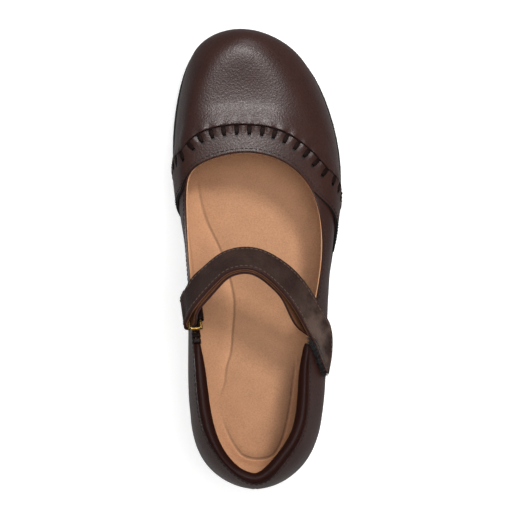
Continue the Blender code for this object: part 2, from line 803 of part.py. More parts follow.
@lru_cache(maxsize=None)
def strap_curve():
    """Spline through the strap's rows, as its two edges by the share of its length."""
    under = layer_below(STRAP_ROWS)
    root = [strap_edges(row) for row in STRAP_ROOT_ROWS]
    edges = root[::-1] + under[::-1] + fold_edges() + [strap_edges(row) for row in STRAP_ROWS]
    values = np.array([np.concatenate(pair) for pair in edges])
    middles = (values[:, :3] + values[:, 3:]) / 2
    steps = np.linalg.norm(np.diff(middles, axis=0), axis=1)
    knots = np.concatenate(([0], np.cumsum(steps))) / steps.sum()
    return open_spline(knots, values), knots


def strap_place(along, across):
    """Point of the strap's middle surface, and its direction away from the foot."""
    step = 1.5e-3
    curve, _ = strap_curve()
    here, ahead, behind = (curve(min(max(a, 0), 1)) for a in (along, along + step, along - step))
    toe, heel = here[:3], here[3:]
    forwards = (ahead[:3] + ahead[3:]) - (behind[:3] + behind[3:])
    face = np.cross(forwards, toe - heel)
    face /= np.linalg.norm(face)
    return toe + across * (heel - toe), face


def make_strap(parts):
    bm = bmesh.new()
    half = STRAP_THICKNESS / 2
    _, knots = strap_curve()
    shares = [knots[0]]
    for start, end in zip(knots, knots[1:]):
        shares += [start + (end - start) * (k + 1) / STRAP_STEPS for k in range(STRAP_STEPS)]
    sections = []
    for along in shares:
        section = []
        outside = even_shares(STRAP_COLUMNS)
        for lift, order in ((half, outside), (-half, outside[::-1])):
            for across in order:
                place, face = strap_place(along, across)
                section.append(place + lift * face)
        sections.append(section)
    add_tube(bm, sections)
    leather = new_material("strap_leather", (0.048, 0.024, 0.018), 0.42)
    return add_object("strap", bm, parts, leather)


def upper_tree():
    """The upper's outer faces, to seat the tapes on."""
    verts = []
    faces = []
    for j in range(WALL_STEPS + 1):
        for k in range(ROUND_STEPS):
            verts.append(Vector(upper_point(k / ROUND_STEPS, j / WALL_STEPS)))
    for j in range(WALL_STEPS):
        for k in range(ROUND_STEPS):
            n = (k + 1) % ROUND_STEPS
            faces.append((j * ROUND_STEPS + k, j * ROUND_STEPS + n,
                          (j + 1) * ROUND_STEPS + n, (j + 1) * ROUND_STEPS + k))
    return BVHTree.FromPolygons(verts, faces)


def make_tapes(parts):
    """Hook tape under the strap's end and loop tape on the quarter, closed on each other."""
    tree = upper_tree()
    rows = []
    for i in range(TAPE_STEPS + 1):
        row = []
        along = TAPE_FROM + (TAPE_TO - TAPE_FROM) * i / TAPE_STEPS
        for j in range(TAPE_STEPS // 2 + 1):
            across = TAPE_LOW + (TAPE_HIGH - TAPE_LOW) * 2 * j / TAPE_STEPS
            place, face = strap_place(along, across)
            start = place - (STRAP_THICKNESS / 2 + CLEARANCE) * face
            seat, normal, _, _ = tree.find_nearest(Vector(start))
            row.append((start, np.array(seat) + TAPE_SEAT * np.array(normal)))
        rows.append(row)
    nylon = new_material("black_nylon", (0.010, 0.010, 0.010), 0.9)
    for name, high, low in (("hook_tape", 0, 1), ("loop_tape", 1, 2)):
        bm = bmesh.new()
        sections = []
        for row in rows:
            section = []
            for level, order in ((high, range(len(row))), (low, range(len(row) - 1, -1, -1))):
                for k in order:
                    top, bottom = row[k]
                    gap = (top - bottom) / np.linalg.norm(top - bottom) * CLEARANCE / 2
                    middle = (top + bottom) / 2 + (gap if name == "hook_tape" else -gap)
                    section.append((top, middle, bottom)[level])
            sections.append(section)
        add_tube(bm, sections)
        add_object(name, bm, parts, nylon)


def stand_on_origin(parts):
    """Parent every piece to one empty and set the finished outline's middle on the origin."""
    bpy.context.view_layer.update()
    graph = bpy.context.evaluated_depsgraph_get()
    places = []
    for item in parts.objects:
        shape = item.evaluated_get(graph)
        places += [tuple(vert.co) for vert in shape.to_mesh().vertices]
        shape.to_mesh_clear()
    low, high = np.min(places, axis=0), np.max(places, axis=0)
    root = bpy.data.objects.new("shoe_root", None)
    for item in list(parts.objects):
        item.parent = root
    parts.objects.link(root)
    root.location = (-(low[0] + high[0]) / 2, -(low[1] + high[1]) / 2, -low[2])
    return root


def main():
    clear_scene()
    parts = new_collection("mary_jane_shoe")
    cutters = new_collection("cutters")
    make_outsole(parts, cutters)
    make_insole(parts)
    make_upper(parts)
    make_band(parts)
    make_collar(parts)
    make_ring(parts)
    make_ring_tab(parts)
    make_strap(parts)
    make_tapes(parts)
    root = stand_on_origin(parts)
    for cutter in cutters.objects:
        cutter.parent = root
    bpy.context.view_layer.update()


main()
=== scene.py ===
"""Looks of a mary jane shoe for the right foot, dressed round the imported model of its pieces.

Metres, with lengths in the tables given in millimetres. +Y points to the toe, +X to the outer
side of the foot, +Z up.
"""
import math
import random
from collections import namedtuple

import bmesh
import bpy
from bpy.props import FloatProperty, FloatVectorProperty, IntProperty, PointerProperty
from bpy.types import Operator, Panel, PropertyGroup
from mathutils import Matrix, Vector, kdtree, noise
from mathutils.bvhtree import BVHTree


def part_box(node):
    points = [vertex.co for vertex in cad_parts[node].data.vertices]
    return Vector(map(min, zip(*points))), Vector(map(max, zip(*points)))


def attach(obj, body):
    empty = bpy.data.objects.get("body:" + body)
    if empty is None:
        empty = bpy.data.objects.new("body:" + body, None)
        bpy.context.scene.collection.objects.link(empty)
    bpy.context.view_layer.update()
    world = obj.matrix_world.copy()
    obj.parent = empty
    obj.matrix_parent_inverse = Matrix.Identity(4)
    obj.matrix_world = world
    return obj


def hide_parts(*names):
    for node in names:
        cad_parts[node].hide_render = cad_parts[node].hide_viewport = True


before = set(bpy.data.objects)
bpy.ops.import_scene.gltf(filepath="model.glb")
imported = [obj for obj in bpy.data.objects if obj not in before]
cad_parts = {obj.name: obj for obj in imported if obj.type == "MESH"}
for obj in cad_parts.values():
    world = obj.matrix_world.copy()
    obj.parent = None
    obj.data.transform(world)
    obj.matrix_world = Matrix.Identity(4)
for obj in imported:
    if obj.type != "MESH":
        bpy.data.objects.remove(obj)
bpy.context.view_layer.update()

bl_info = {
    "name": "Mary jane shoe",
    "version": (1, 0, 0),
    "blender": (4, 5, 0),
    "location": "3D View > Sidebar > Shoe",
    "description": "Leather, stitching, footbed and sole of a mary jane shoe",
    "category": "Object",
}

MM = 0.001

# How meshes are merged, joined into larger faces, split into sheets at their bends, and
# divided along a path
MERGE_DISTANCE = 0.02 * MM
JOIN_BEND = math.radians(60)
JOIN_SKEW = math.radians(80)
FLAT_BEND = math.radians(2)
ANY_SKEW = math.radians(180)
SHEET_BEND = math.radians(48)
RIM_BEND = math.radians(55)
CORNER_BEND = math.radians(60)
FOOTBED_BEND = math.radians(40)
SHADING_BEND = math.radians(32)
PATH_SPACING = 0.25 * MM
SEAM_REFINING = (9 * MM, 3.2 * MM)
BAND_REFINING = 8 * MM
LINE_REFINING = (8 * MM, 4 * MM, 2 * MM)
EVENING_ROUNDS = 30

# Roundings of the edges
FOOTBED_ROUND = 0.8 * MM
LINING_ROUND = 0.2 * MM
BAND_ROUND = 0.3 * MM
THONG_ROUND = 0.28 * MM
STRAP_ROUND = 0.35 * MM
KEEPER_ROUND = 0.2 * MM
WRAP_ROUND = 0.8 * MM
TAPE_ROUND = 0.12 * MM
SOLE_ROUND = 0.3 * MM

# Low forms of a surface: how high each is and how far it reaches
Relief = namedtuple("Relief", "height reach")
LEATHER_DRIFT = Relief(0.10 * MM, 22 * MM)
FOOTBED_DRIFT = Relief(0.14 * MM, 14 * MM)
BACK_SWELL = Relief(0.25 * MM, 3 * MM)
BACK_GROOVE = Relief(0.45 * MM, 0.9 * MM)

# The back seam runs down the heel's middle, behind this place and within this reach of it
HEEL_START = -100 * MM
BACK_SEAM_REACH = 5 * MM

# The whipped seam: the vamp's rounded lip, its swells and the groove. The band swells more than
# the vamp, is pressed in by this share of a swell at each thong, and stays level underneath
LIP_ROUND = 1.1 * MM
SWELL_REACH = 6 * MM
GROOVE_WIDTH = 1.3 * MM
BAND_SWELL = 1.7
BAND_SWELL_REACH = 6.5 * MM
BAND_PRESS = 0.4
BAND_UNDERSIDE = -0.2

# Thongs start in the seam's groove and end in their holes, narrower and lower at both ends. A
# bunch of lace hides each start
THONG_START = -0.9 * MM
THONG_OVERRUN = 0.1 * MM
THONG_SINK = 0.75 * MM
THONG_RISE = 0.35
THONG_ARCH = 0.4
THONG_END_WIDTH = 0.82
THONG_MARGIN = 2 * MM
THONG_SLOPE_AT = 0.2
HOLE_GAP = 0.5 * MM
HOLE_DEPTH = 1.7 * MM
TUCK_WIDENING = 1.6
TUCK_LENGTH = 1.5 * MM
TUCK_HEIGHT = 1.1 * MM
TUCK_LIFT = 0.4 * MM

# The throat's rolled rim shows in front of this place and outside this one
THROAT_SIDES = 38 * MM
THROAT_INNER = -33 * MM

# Folded edges above this height are rounded. A row of stitches is at least this long, and it
# stops where another piece is this near
FOLD_HEIGHT = 30 * MM
SHORTEST_ROW = 10 * MM
COVER_REACH = 3 * MM

# Loose fibres of the tape: how far from it and from where they stand, how they lean, how deep
# and how low they root, their two ends' radii, and the shortest one's share of the longest
FIBRE_SPREAD = 9 * MM
FIBRE_START = 3.5 * MM
FIBRE_LEAN = 0.7
FIBRE_ROOT = 1.5 * MM
FIBRE_DROP = (1 * MM, 3 * MM)
FIBRE_RADII = (0.17 * MM, 0.08 * MM)
FIBRE_SHORTEST = 0.3
FIBRE_OVERLAP = 0.3 * MM
FIBRE_SEED = 7

# The footbed's suede cover, its pressed lines and the reach of the painted shade on their lower
# side.
# Its relief is where the normal rises more than the first limit, and faces below the second
# one are left out
FOOTBED_COVER = 0.8 * MM
LINE_WIDTH = 1.1 * MM
STEP_WIDTH = 0.6 * MM
PAINTED_SHADE_REACH = 6 * MM
# Painted light and shade of the pressed lines: how much lighter the raised side is painted, a
# painted highlight, and how much darker the groove is painted, painted shade
RAISED_PAINTED_LIGHT = 0.5
GROOVE_PAINTED_SHADE = 1.3
FACING_UP = 0.3
FACING_DOWN = -0.5

# Rubbed leather spreads this far from the middle of the fastener, and has this share beyond
RUB_REACH = 48 * MM
RUB_LEAST = 0.15

# How high a stitch's middle lies on the leather, as a share of the thread's thickness
STITCH_RISE = 0.18

# Line embossed along the footbed's raised inner arch, across and along the shoe in millimetres
PlanPoint = namedtuple("PlanPoint", "across along")
ARCH_LINE = [
    PlanPoint(-33.9, 45.0),
    PlanPoint(-32.0, 32.9),
    PlanPoint(-28.1, 20.3),
    PlanPoint(-20.5, 4.2),
    PlanPoint(-15.3, -11.9),
    PlanPoint(-13.0, -22.8),
    PlanPoint(-12.8, -29.7),
    PlanPoint(-13.6, -41.2),
    PlanPoint(-14.7, -53.8),
    PlanPoint(-17.3, -63.0),
    PlanPoint(-18.5, -72.2),
    PlanPoint(-21.1, -79.7),
]

# Line pressed where the footbed meets the lining, round the heel and up the outer side
CUP_LINE = [
    PlanPoint(-19.6, -93.0),
    PlanPoint(-15.4, -103.0),
    PlanPoint(-11.1, -110.0),
    PlanPoint(-7.1, -113.9),
    PlanPoint(-0.4, -115.6),
    PlanPoint(7.1, -114.5),
    PlanPoint(11.4, -110.6),
    PlanPoint(15.6, -101.0),
    PlanPoint(18.6, -87.0),
    PlanPoint(20.6, -72.0),
    PlanPoint(22.2, -58.0),
]

# Both lines: the raised side's height as a share of the footbed's step and how far it reaches,
# the groove's depth, and how much painted shade lies on the lower side
PressedLine = namedtuple("PressedLine", "places rise reach depth grime")
PRESSED_LINES = [
    PressedLine(ARCH_LINE, 1.0, 9 * MM, 0.8 * MM, 0.0),
    # The cup line's lower side is darkened with painted shade, for the shade beside the walls round
    # the heel and outer side
    PressedLine(CUP_LINE, 1.6, 5 * MM, 0.9 * MM, 0.45),
]

# The collar is thinner at the inner back of the heel, so its inner line is rounder there, and
# its soft wrinkles run round it
INNER_HEEL = Vector((-13, -112)) * MM
HEEL_MIDDLE = Vector((-2, -80)) * MM
COLLAR_THINNING = Relief(2.6 * MM, 26 * MM)
COLLAR_WRINKLE = 0.16 * MM
WRINKLE_SPACING = (9, 9, 3)
COLLAR_TUCK_REACH = 3 * MM
COLLAR_EDGE = 5 * MM

# Turns of the keeper's lace: their places along the shoe in millimetres, the size of one, and
# how far in and down from the topline each lies
KEEPER_WRAPS = (-37.6, -41.0, -44.4, -47.8)
WRAP_SIZE = (4.8 * MM, 2.8 * MM, 7.5 * MM)
WRAP_INSET = 2.2 * MM
WRAP_DROP = 1.2 * MM

# Soft creases of the leather: three places across, along and up the shoe in millimetres,
# then how wide and how deep the trough is; a negative depth is a ridge
Crease = namedtuple("Crease", "start bend end width depth")
CREASE_STEPS = 20
CREASES = [
    Crease((44, 38, 28), (46, 30, 36), (45, 18, 44), 4.0, 0.30),
    Crease((45, 26, 26), (47, 16, 34), (45, 4, 42), 5.0, 0.25),
    Crease((-44, 44, 26), (-46, 34, 34), (-44, 24, 42), 4.0, 0.30),
    Crease((-44, 26, 26), (-45, 14, 34), (-43, 2, 44), 5.0, 0.25),
    Crease((-42, -44, 60), (-44, -28, 48), (-44, -12, 38), 5.5, 0.35),
    Crease((40, -58, 48), (42, -40, 38), (43, -18, 32), 6.0, 0.30),
    Crease((-36, -96, 58), (-40, -84, 46), (-40, -66, 36), 6.0, 0.25),
    Crease((34, -98, 56), (38, -84, 46), (39, -66, 36), 6.0, 0.25),
    Crease((-38, 100, 36), (-4, 126, 38), (30, 100, 36), 9.0, -0.35),
]


def linear(code):
    """Linear colour of an sRGB hex value."""
    parts = [int(code[i:i + 2], 16) / 255 for i in (1, 3, 5)]
    return tuple(c / 12.92 if c <= 0.04045 else ((c + 0.055) / 1.055) ** 2.4 for c in parts)


def colour(code, name, description):
    return FloatVectorProperty(name=name, description=description, subtype="COLOR",
                               size=3, min=0, max=1, default=linear(code))


def length(millimetres, name, description):
    return FloatProperty(name=name, description=description, subtype="DISTANCE",
                         unit="LENGTH", min=0, default=millimetres * MM)


class ShoeSizes(PropertyGroup):
    """Sizes of the leather work, the stitching and the footbed."""

    leather: length(1.15, "Leather", "Thickness of the outer leather")
    lining: length(0.7, "Lining", "Thickness of the tan lining")
    edge_round: length(0.4, "Folded edge", "Rounding of the leather's folded edges")
    thong_pitch: length(7.6, "Thong pitch", "Distance from one thong to the next")
    thong_width: length(2.6, "Thong width", "Width of a leather thong")
    thong_reach: length(4.9, "Thong reach", "Length of a thong from the seam to its hole")
    thong_thickness: length(0.9, "Thong thickness", "Thickness of a thong")
    hole_width: length(2.2, "Hole width", "Diameter of the hole that a thong ends in")
    seam_lift: length(1.5, "Seam lift", "Height of the vamp's edge at the whipped seam")
    seam_reach: length(15.0, "Seam reach", "How far from the seam the leather is drawn up")
    pucker: length(0.45, "Pucker", "Swell of the leather between two thongs")
    stitch_length: length(2.1, "Stitch length", "Length of one stitch")
    stitch_pitch: length(2.7, "Stitch pitch", "Distance from one stitch to the next")
    thread: length(0.55, "Thread", "Thickness of the thread")
    stitch_inset: length(1.4, "Stitch inset", "Distance of a stitch row from its edge")
    footbed_step: length(1.0, "Footbed step", "Rise of the footbed at its embossed line")
    seam_groove: length(0.9, "Seam groove", "Depth of the groove along the whipped seam")
    collar_groove: length(0.8, "Collar groove", "Depth of the tuck beside the topline")
    fibre: length(5.0, "Fibre", "Length of the longest loose fibre")
    fibres: IntProperty(name="Fibres", description="Loose fibres along the hook tape",
                        min=0, default=1400)


class ShoeColours(PropertyGroup):
    """Colours of the shoe's materials."""

    upper: colour("#2e1712", "Upper", "Waxed brown leather of the vamp and quarters")
    band: colour("#2f1812", "Band", "Leather of the raised band")
    thong: colour("#150a08", "Thong", "Leather lace that whips the seam")
    collar: colour("#200c08", "Collar", "Soft leather of the padded collar")
    strap: colour("#2a1a15", "Strap", "Grained leather of the strap")
    backing: colour("#65412b", "Strap backing", "Leather on the strap's inner face")
    edge: colour("#2c110e", "Cut edges", "Paint on the leather's cut edges")
    lining: colour("#bd8f6c", "Lining", "Tan pigskin lining")
    footbed: colour("#ba8b69", "Footbed", "Tan suede of the footbed")
    strap_thread: colour("#4f3b31", "Strap thread", "Pale waxed thread of the strap's rows")
    rim: colour("#5e2f21", "Rolled rim", "Reddish rim of the throat's rolled edge")
    # Near-black painted shade: the walls of the punched holes, and the band's other edges, which are
    # edge ink and, along the seam's groove, painted shade
    punched: colour("#080505", "Punched holes", "Dark wall of the punched holes")
    scuff: colour("#54443c", "Scuff", "Rubbed leather at the strap's end")
    thread: colour("#160b08", "Thread", "Waxed brown thread")
    brass: colour("#9c7c45", "Brass", "Plated brass wire")
    tape: colour("#0e0d0d", "Tape", "Black nylon of the fastener")
    rubber: colour("#161414", "Rubber", "Black rubber of the sole")
    floor: colour("#cfcfce", "Floor", "Pale studio floor")


# Mesh helpers

def merged_copy(node):
    """A CAD node's mesh with its loose triangles merged and joined into four-sided faces."""
    bm = bmesh.new()
    bm.from_mesh(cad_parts[node].data)
    bmesh.ops.remove_doubles(bm, verts=bm.verts, dist=MERGE_DISTANCE)
    bmesh.ops.join_triangles(bm, faces=bm.faces, angle_face_threshold=JOIN_BEND,
                             angle_shape_threshold=JOIN_SKEW)
    return bm


def sheets(bm, bend=SHEET_BEND):
    """Groups of faces that meet at less than a bend, the widest group first."""
    bm.normal_update()
    bm.faces.index_update()
    seen = [False] * len(bm.faces)
    groups = []
    for first in bm.faces:
        if seen[first.index]:
            continue
        seen[first.index] = True
        group = [first]
        for face in group:
            for edge in face.edges:
                for other in edge.link_faces:
                    if not seen[other.index] and face.normal.angle(other.normal) < bend:
                        seen[other.index] = True
                        group.append(other)
        groups.append(group)
    return sorted(groups, key=lambda group: -sum(face.calc_area() for face in group))


def keep_faces(bm, faces):
    kept = set(faces)
    bmesh.ops.delete(bm, geom=[face for face in bm.faces if face not in kept], context="FACES")
    return bm


def mesh_of(bm, name):
    """A mesh made from a bmesh, which is then freed."""
    mesh = bpy.data.meshes.new(name)
    bm.to_mesh(mesh)
    bm.free()
    return mesh


def new_object(name, data):
    item = bpy.data.objects.new(name, data)
    bpy.context.scene.collection.objects.link(item)
    return item


def with_modifier(bm, kind, **options):
    """The bmesh as one modifier leaves it."""
    mesh = mesh_of(bm, "work")
    item = new_object("work", mesh)
    modifier = item.modifiers.new("work", kind)
    for name, value in options.items():
        setattr(modifier, name, value)
    result = bmesh.new()
    result.from_object(item, bpy.context.evaluated_depsgraph_get())
    bpy.data.objects.remove(item)
    bpy.data.meshes.remove(mesh)
    return result


def thickened(bm, thickness):
    """A sheet given its thickness on the inner side."""
    return with_modifier(bm, "SOLIDIFY", thickness=thickness, offset=-1, use_even_offset=False)


def subdivided(bm, levels, rounds=3):
    """A smooth surface through the mesh's own corners, where a plain one would shrink inwards."""
    places = [vert.co.copy() for vert in bm.verts]
    for _ in range(rounds):
        smooth = with_modifier(bm.copy(), "SUBSURF", levels=1, render_levels=1)
        smooth.verts.ensure_lookup_table()
        for i, vert in enumerate(bm.verts):
            vert.co += places[i] - smooth.verts[i].co
        smooth.free()
    return with_modifier(bm, "SUBSURF", levels=levels, render_levels=levels)


def sharp_edges(bm, bend):
    bm.normal_update()
    return [edge for edge in bm.edges
            if len(edge.link_faces) == 2 and edge.calc_face_angle() > bend]


def round_edges(bm, edges, width, segments=2):
    bmesh.ops.bevel(bm, geom=edges, offset=width, offset_type="OFFSET", segments=segments,
                    profile=0.5, affect="EDGES", material=-1, clamp_overlap=True)
    return bm


def border_loops(faces):
    """Places along each border of a group of faces, in order."""
    inside = set(faces)
    neighbours = {}
    for face in faces:
        for edge in face.edges:
            if sum(other in inside for other in edge.link_faces) == 1:
                for vert in edge.verts:
                    neighbours.setdefault(vert, []).append(edge.other_vert(vert))
    loops = []
    seen = set()
    for start in sorted(neighbours, key=lambda vert: vert.index):
        if start in seen:
            continue
        seen.add(start)
        loop = [start]
        going = True
        while going:
            going = False
            for vert in neighbours[loop[-1]]:
                if vert not in seen:
                    seen.add(vert)
                    loop.append(vert)
                    going = True
                    break
        loops.append([vert.co.copy() for vert in loop])
    return loops


def split_at_corners(loop, corners=4):
    """A closed loop cut at its sharpest corners, the longest piece first."""
    count = len(loop)
    turns = [(loop[i] - loop[i - 1]).angle(loop[(i + 1) % count] - loop[i], 0) for i in range(count)]
    cuts = sorted(sorted(range(count), key=lambda i: -turns[i])[:corners])
    pieces = []
    for start, end in zip(cuts, cuts[1:] + [cuts[0] + count]):
        pieces.append([loop[i % count] for i in range(start, end + 1)])
    return sorted(pieces, key=lambda piece: -path_length(piece))


def path_length(points):
    return sum((b - a).length for a, b in zip(points, points[1:]))


def spaced(points, spacing):
    """Points at an even spacing along a path."""
    result = [points[0].copy()]
    need = spacing
    for a, b in zip(points, points[1:]):
        gap = (b - a).length
        reached = 0
        while gap - reached >= need:
            reached += need
            result.append(a.lerp(b, reached / gap))
            need = spacing
        need -= gap - reached
    return result


def relaxed(points, rounds):
    """A path with its corners smoothed out, its ends kept."""
    for _ in range(rounds):
        points = ([points[0]] + [a * 0.25 + b * 0.5 + c * 0.25 for a, b, c
                                 in zip(points, points[1:], points[2:])] + [points[-1]])
    return points


def curve_through(points, steps=12):
    """Smooth path through a few points."""
    path = []
    for i in range(len(points) - 1):
        before = points[max(i - 1, 0)]
        start, end = points[i], points[i + 1]
        after = points[min(i + 2, len(points) - 1)]
        for k in range(steps):
            t = k / steps
            path.append(0.5 * (2 * start + (end - before) * t
                               + (2 * before - 5 * start + 4 * end - after) * t ** 2
                               + (3 * start - before - 3 * end + after) * t ** 3))
    return path + [points[-1]]


def finder(points):
    tree = kdtree.KDTree(len(points))
    for i, point in enumerate(points):
        tree.insert(point, i)
    tree.balance()
    return tree


def on_surface(tree, point):
    """Nearest place on a surface, and its normal."""
    place, normal, _, _ = tree.find_nearest(point)
    return place, normal


def falloff(share):
    """1 at nothing, down to 0 at 1 with level ends."""
    share = min(max(share, 0), 1)
    return 1 - share * share * (3 - 2 * share)


def along_path(index, count, power):
    """1 at the middle of a path and nothing past its ends, flatter for a lower power."""
    return math.sin(math.pi * (index + 0.5) / count) ** power


def refine_near(bm, tree, reach):
    """Halve the faces within a reach of a path, and even out what that leaves flat."""
    edges = [edge for edge in bm.edges
             if tree.find((edge.verts[0].co + edge.verts[1].co) / 2)[2] < reach]
    bmesh.ops.subdivide_edges(bm, edges=edges, cuts=1, use_grid_fill=True)
    near = [vert for vert in bm.verts if not vert.is_boundary and tree.find(vert.co)[2] < reach]
    bmesh.ops.smooth_vert(bm, verts=near, factor=0.5, use_axis_x=True, use_axis_y=True,
                          use_axis_z=True)


def raise_surface(bm, height):
    """Move each corner along its normal, by the height that a function gives for it."""
    bm.normal_update()
    moves = [(vert, vert.normal * height(vert)) for vert in bm.verts]
    for vert, move in moves:
        vert.co += move


def finish_piece(name, bm, materials, replaces=()):
    """The bmesh as a smooth-shaded piece of the shoe."""
    mesh = mesh_of(bm, name)
    mesh.shade_smooth()
    for material in materials:
        mesh.materials.append(material)
    piece = new_object(name, mesh)
    if replaces:
        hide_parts(*replaces)
    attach(piece, "root")
    return piece


def settings():
    scene = bpy.context.scene
    return scene.shoe_sizes, scene.shoe_colours


# Materials

def add_node(material, kind, inputs=None, **options):
    """Add a node with its options, and with a value or a link for each named input."""
    tree = material.node_tree
    node = tree.nodes.new(kind)
    for name, value in options.items():
        setattr(node, name, value)
    for socket, source in (inputs or {}).items():
        if isinstance(source, bpy.types.NodeSocket):
            tree.links.new(source, node.inputs[socket])
        else:
            node.inputs[socket].default_value = source
    return node


def new_material(name, tone, roughness, **sockets):
    """A material with one principled shader, and that shader."""
    material = bpy.data.materials.new(name)
    material.use_nodes = True
    shader = material.node_tree.nodes["Principled BSDF"]
    shader.inputs["Base Color"].default_value = (*tone, 1)
    shader.inputs["Roughness"].default_value = roughness
    for socket, value in sockets.items():
        shader.inputs[socket.replace("_", " ")].default_value = value
    return material, shader


def join(material, source, target):
    material.node_tree.links.new(source, target)


def shade(tone, amount):
    return (*(min(c * amount, 1) for c in tone), 1)


def per_size(millimetres):
    """Scale of a pattern whose cells are that wide."""
    return 1 / (millimetres * MM)


def waxed_leather(name, tone, grain, depth, roughness, mottle=0.28, wax=0.28, rubbed=None):
    """Finished full-grain leather, plated and waxed: a fine closed grain that breaks up a soft
    sheen, slow drifts of tone, and a little more gloss on the high spots of the grain. Where a
    piece has a rub attribute, the rubbed tone shows in patches there."""
    material, shader = new_material(name, tone, roughness, Specular_IOR_Level=wax)
    place = add_node(material, "ShaderNodeTexCoord").outputs["Object"]
    drift = add_node(material, "ShaderNodeTexNoise",
                     {"Vector": place, "Scale": per_size(16), "Detail": 4.0, "Roughness": 0.6})
    cells = add_node(material, "ShaderNodeTexVoronoi",
                     {"Vector": place, "Scale": per_size(grain), "Smoothness": 0.6},
                     feature="SMOOTH_F1")
    pores = add_node(material, "ShaderNodeTexNoise",
                     {"Vector": place, "Scale": per_size(grain * 0.6), "Detail": 3.0})
    grain_mix = add_node(material, "ShaderNodeMix",
                         {"Factor": 0.4, "A": cells.outputs["Distance"], "B": pores.outputs["Fac"]},
                         data_type="FLOAT")
    tones = add_node(material, "ShaderNodeMix",
                     {"Factor": drift.outputs["Fac"], "A": shade(tone, 1 - mottle),
                      "B": shade(tone, 1 + mottle)}, data_type="RGBA")
    valleys = add_node(material, "ShaderNodeMapRange",
                       {"Value": grain_mix.outputs[0], "From Min": 0.1, "From Max": 0.75,
                        "To Min": 1.12, "To Max": 0.78})
    colour_mix = add_node(material, "ShaderNodeMix",
                          {"Factor": 1.0, "A": tones.outputs[2], "B": valleys.outputs["Result"]},
                          data_type="RGBA", blend_type="MULTIPLY")
    gloss = add_node(material, "ShaderNodeMapRange",
                     {"Value": pores.outputs["Fac"], "From Min": 0.3, "From Max": 0.7,
                      "To Min": roughness - 0.07, "To Max": roughness + 0.09})
    bump = add_node(material, "ShaderNodeBump",
                    {"Height": grain_mix.outputs[0], "Strength": 0.7, "Distance": depth * MM},
                    invert=True)
    surface = colour_mix.outputs[2]
    if rubbed:
        wear = add_node(material, "ShaderNodeAttribute", attribute_name="rub")
        patches = add_node(material, "ShaderNodeMapRange",
                           {"Value": drift.outputs["Fac"], "From Min": 0.38, "From Max": 0.62})
        amount = add_node(material, "ShaderNodeMath",
                          {0: wear.outputs["Fac"], 1: patches.outputs["Result"]},
                          operation="MULTIPLY")
        surface = add_node(material, "ShaderNodeMix",
                           {"Factor": amount.outputs[0], "A": surface, "B": (*rubbed, 1)},
                           data_type="RGBA").outputs[2]
    join(material, surface, shader.inputs["Base Color"])
    join(material, gloss.outputs["Result"], shader.inputs["Roughness"])
    join(material, bump.outputs["Normal"], shader.inputs["Normal"])
    return material


def brushed_suede(name, tone, nap, mottle=0.16, with_painted_shading=False):
    """Suede or pigskin with a short brushed nap: quite matt, cloudy in tone where the nap lies
    the other way, with fine pores. A painted shading attribute lightens the raised side of its
    pressed lines, a painted highlight, and darkens their grooves and lower sides, painted shade."""
    material, shader = new_material(name, tone, 0.88, Sheen_Weight=0.35, Sheen_Roughness=0.5,
                                    Specular_IOR_Level=0.25)
    shader.inputs["Sheen Tint"].default_value = shade(tone, 1.5)
    place = add_node(material, "ShaderNodeTexCoord").outputs["Object"]
    clouds = add_node(material, "ShaderNodeTexNoise",
                      {"Vector": place, "Scale": per_size(12), "Detail": 6.0, "Roughness": 0.65})
    pores = add_node(material, "ShaderNodeTexNoise",
                     {"Vector": place, "Scale": per_size(nap), "Detail": 4.0, "Roughness": 0.7})
    tones = add_node(material, "ShaderNodeMix",
                     {"Factor": clouds.outputs["Fac"], "A": shade(tone, 1 - mottle),
                      "B": shade(tone, 1 + mottle)}, data_type="RGBA")
    specks = add_node(material, "ShaderNodeMapRange",
                      {"Value": pores.outputs["Fac"], "From Min": 0.3, "From Max": 0.6,
                       "To Min": 0.82, "To Max": 1.05})
    colour_mix = add_node(material, "ShaderNodeMix",
                          {"Factor": 1.0, "A": tones.outputs[2], "B": specks.outputs["Result"]},
                          data_type="RGBA", blend_type="MULTIPLY")
    bump = add_node(material, "ShaderNodeBump",
                    {"Height": pores.outputs["Fac"], "Strength": 0.5, "Distance": 0.25 * MM})
    surface = colour_mix.outputs[2]
    if with_painted_shading:
        # Painted shading: the attribute lightens the colour as a painted highlight and darkens it as
        # painted shade
        painted_shading = add_node(material, "ShaderNodeAttribute", attribute_name="painted_shading")
        level = add_node(material, "ShaderNodeMapRange",
                         {"Value": painted_shading.outputs["Fac"], "From Min": -1.0, "From Max": 1.0,
                          "To Min": 0.45, "To Max": 1.3})
        surface = add_node(material, "ShaderNodeMix",
                           {"Factor": 1.0, "A": surface, "B": level.outputs["Result"]},
                           data_type="RGBA", blend_type="MULTIPLY").outputs[2]
    join(material, surface, shader.inputs["Base Color"])
    join(material, bump.outputs["Normal"], shader.inputs["Normal"])
    return material


def moulded_rubber(name, tone):
    """Compression-moulded rubber with a spark-eroded skin: black, matt, finely pebbled."""
    material, shader = new_material(name, tone, 0.62, Specular_IOR_Level=0.4)
    place = add_node(material, "ShaderNodeTexCoord").outputs["Object"]
    skin = add_node(material, "ShaderNodeTexNoise",
                    {"Vector": place, "Scale": per_size(0.8), "Detail": 3.0})
    smudge = add_node(material, "ShaderNodeTexNoise",
                      {"Vector": place, "Scale": per_size(22), "Detail": 3.0})
    gloss = add_node(material, "ShaderNodeMapRange",
                     {"Value": smudge.outputs["Fac"], "From Min": 0.3, "From Max": 0.7,
                      "To Min": 0.52, "To Max": 0.72})
    bump = add_node(material, "ShaderNodeBump",
                    {"Height": skin.outputs["Fac"], "Strength": 0.5, "Distance": 0.2 * MM})
    join(material, gloss.outputs["Result"], shader.inputs["Roughness"])
    join(material, bump.outputs["Normal"], shader.inputs["Normal"])
    return material


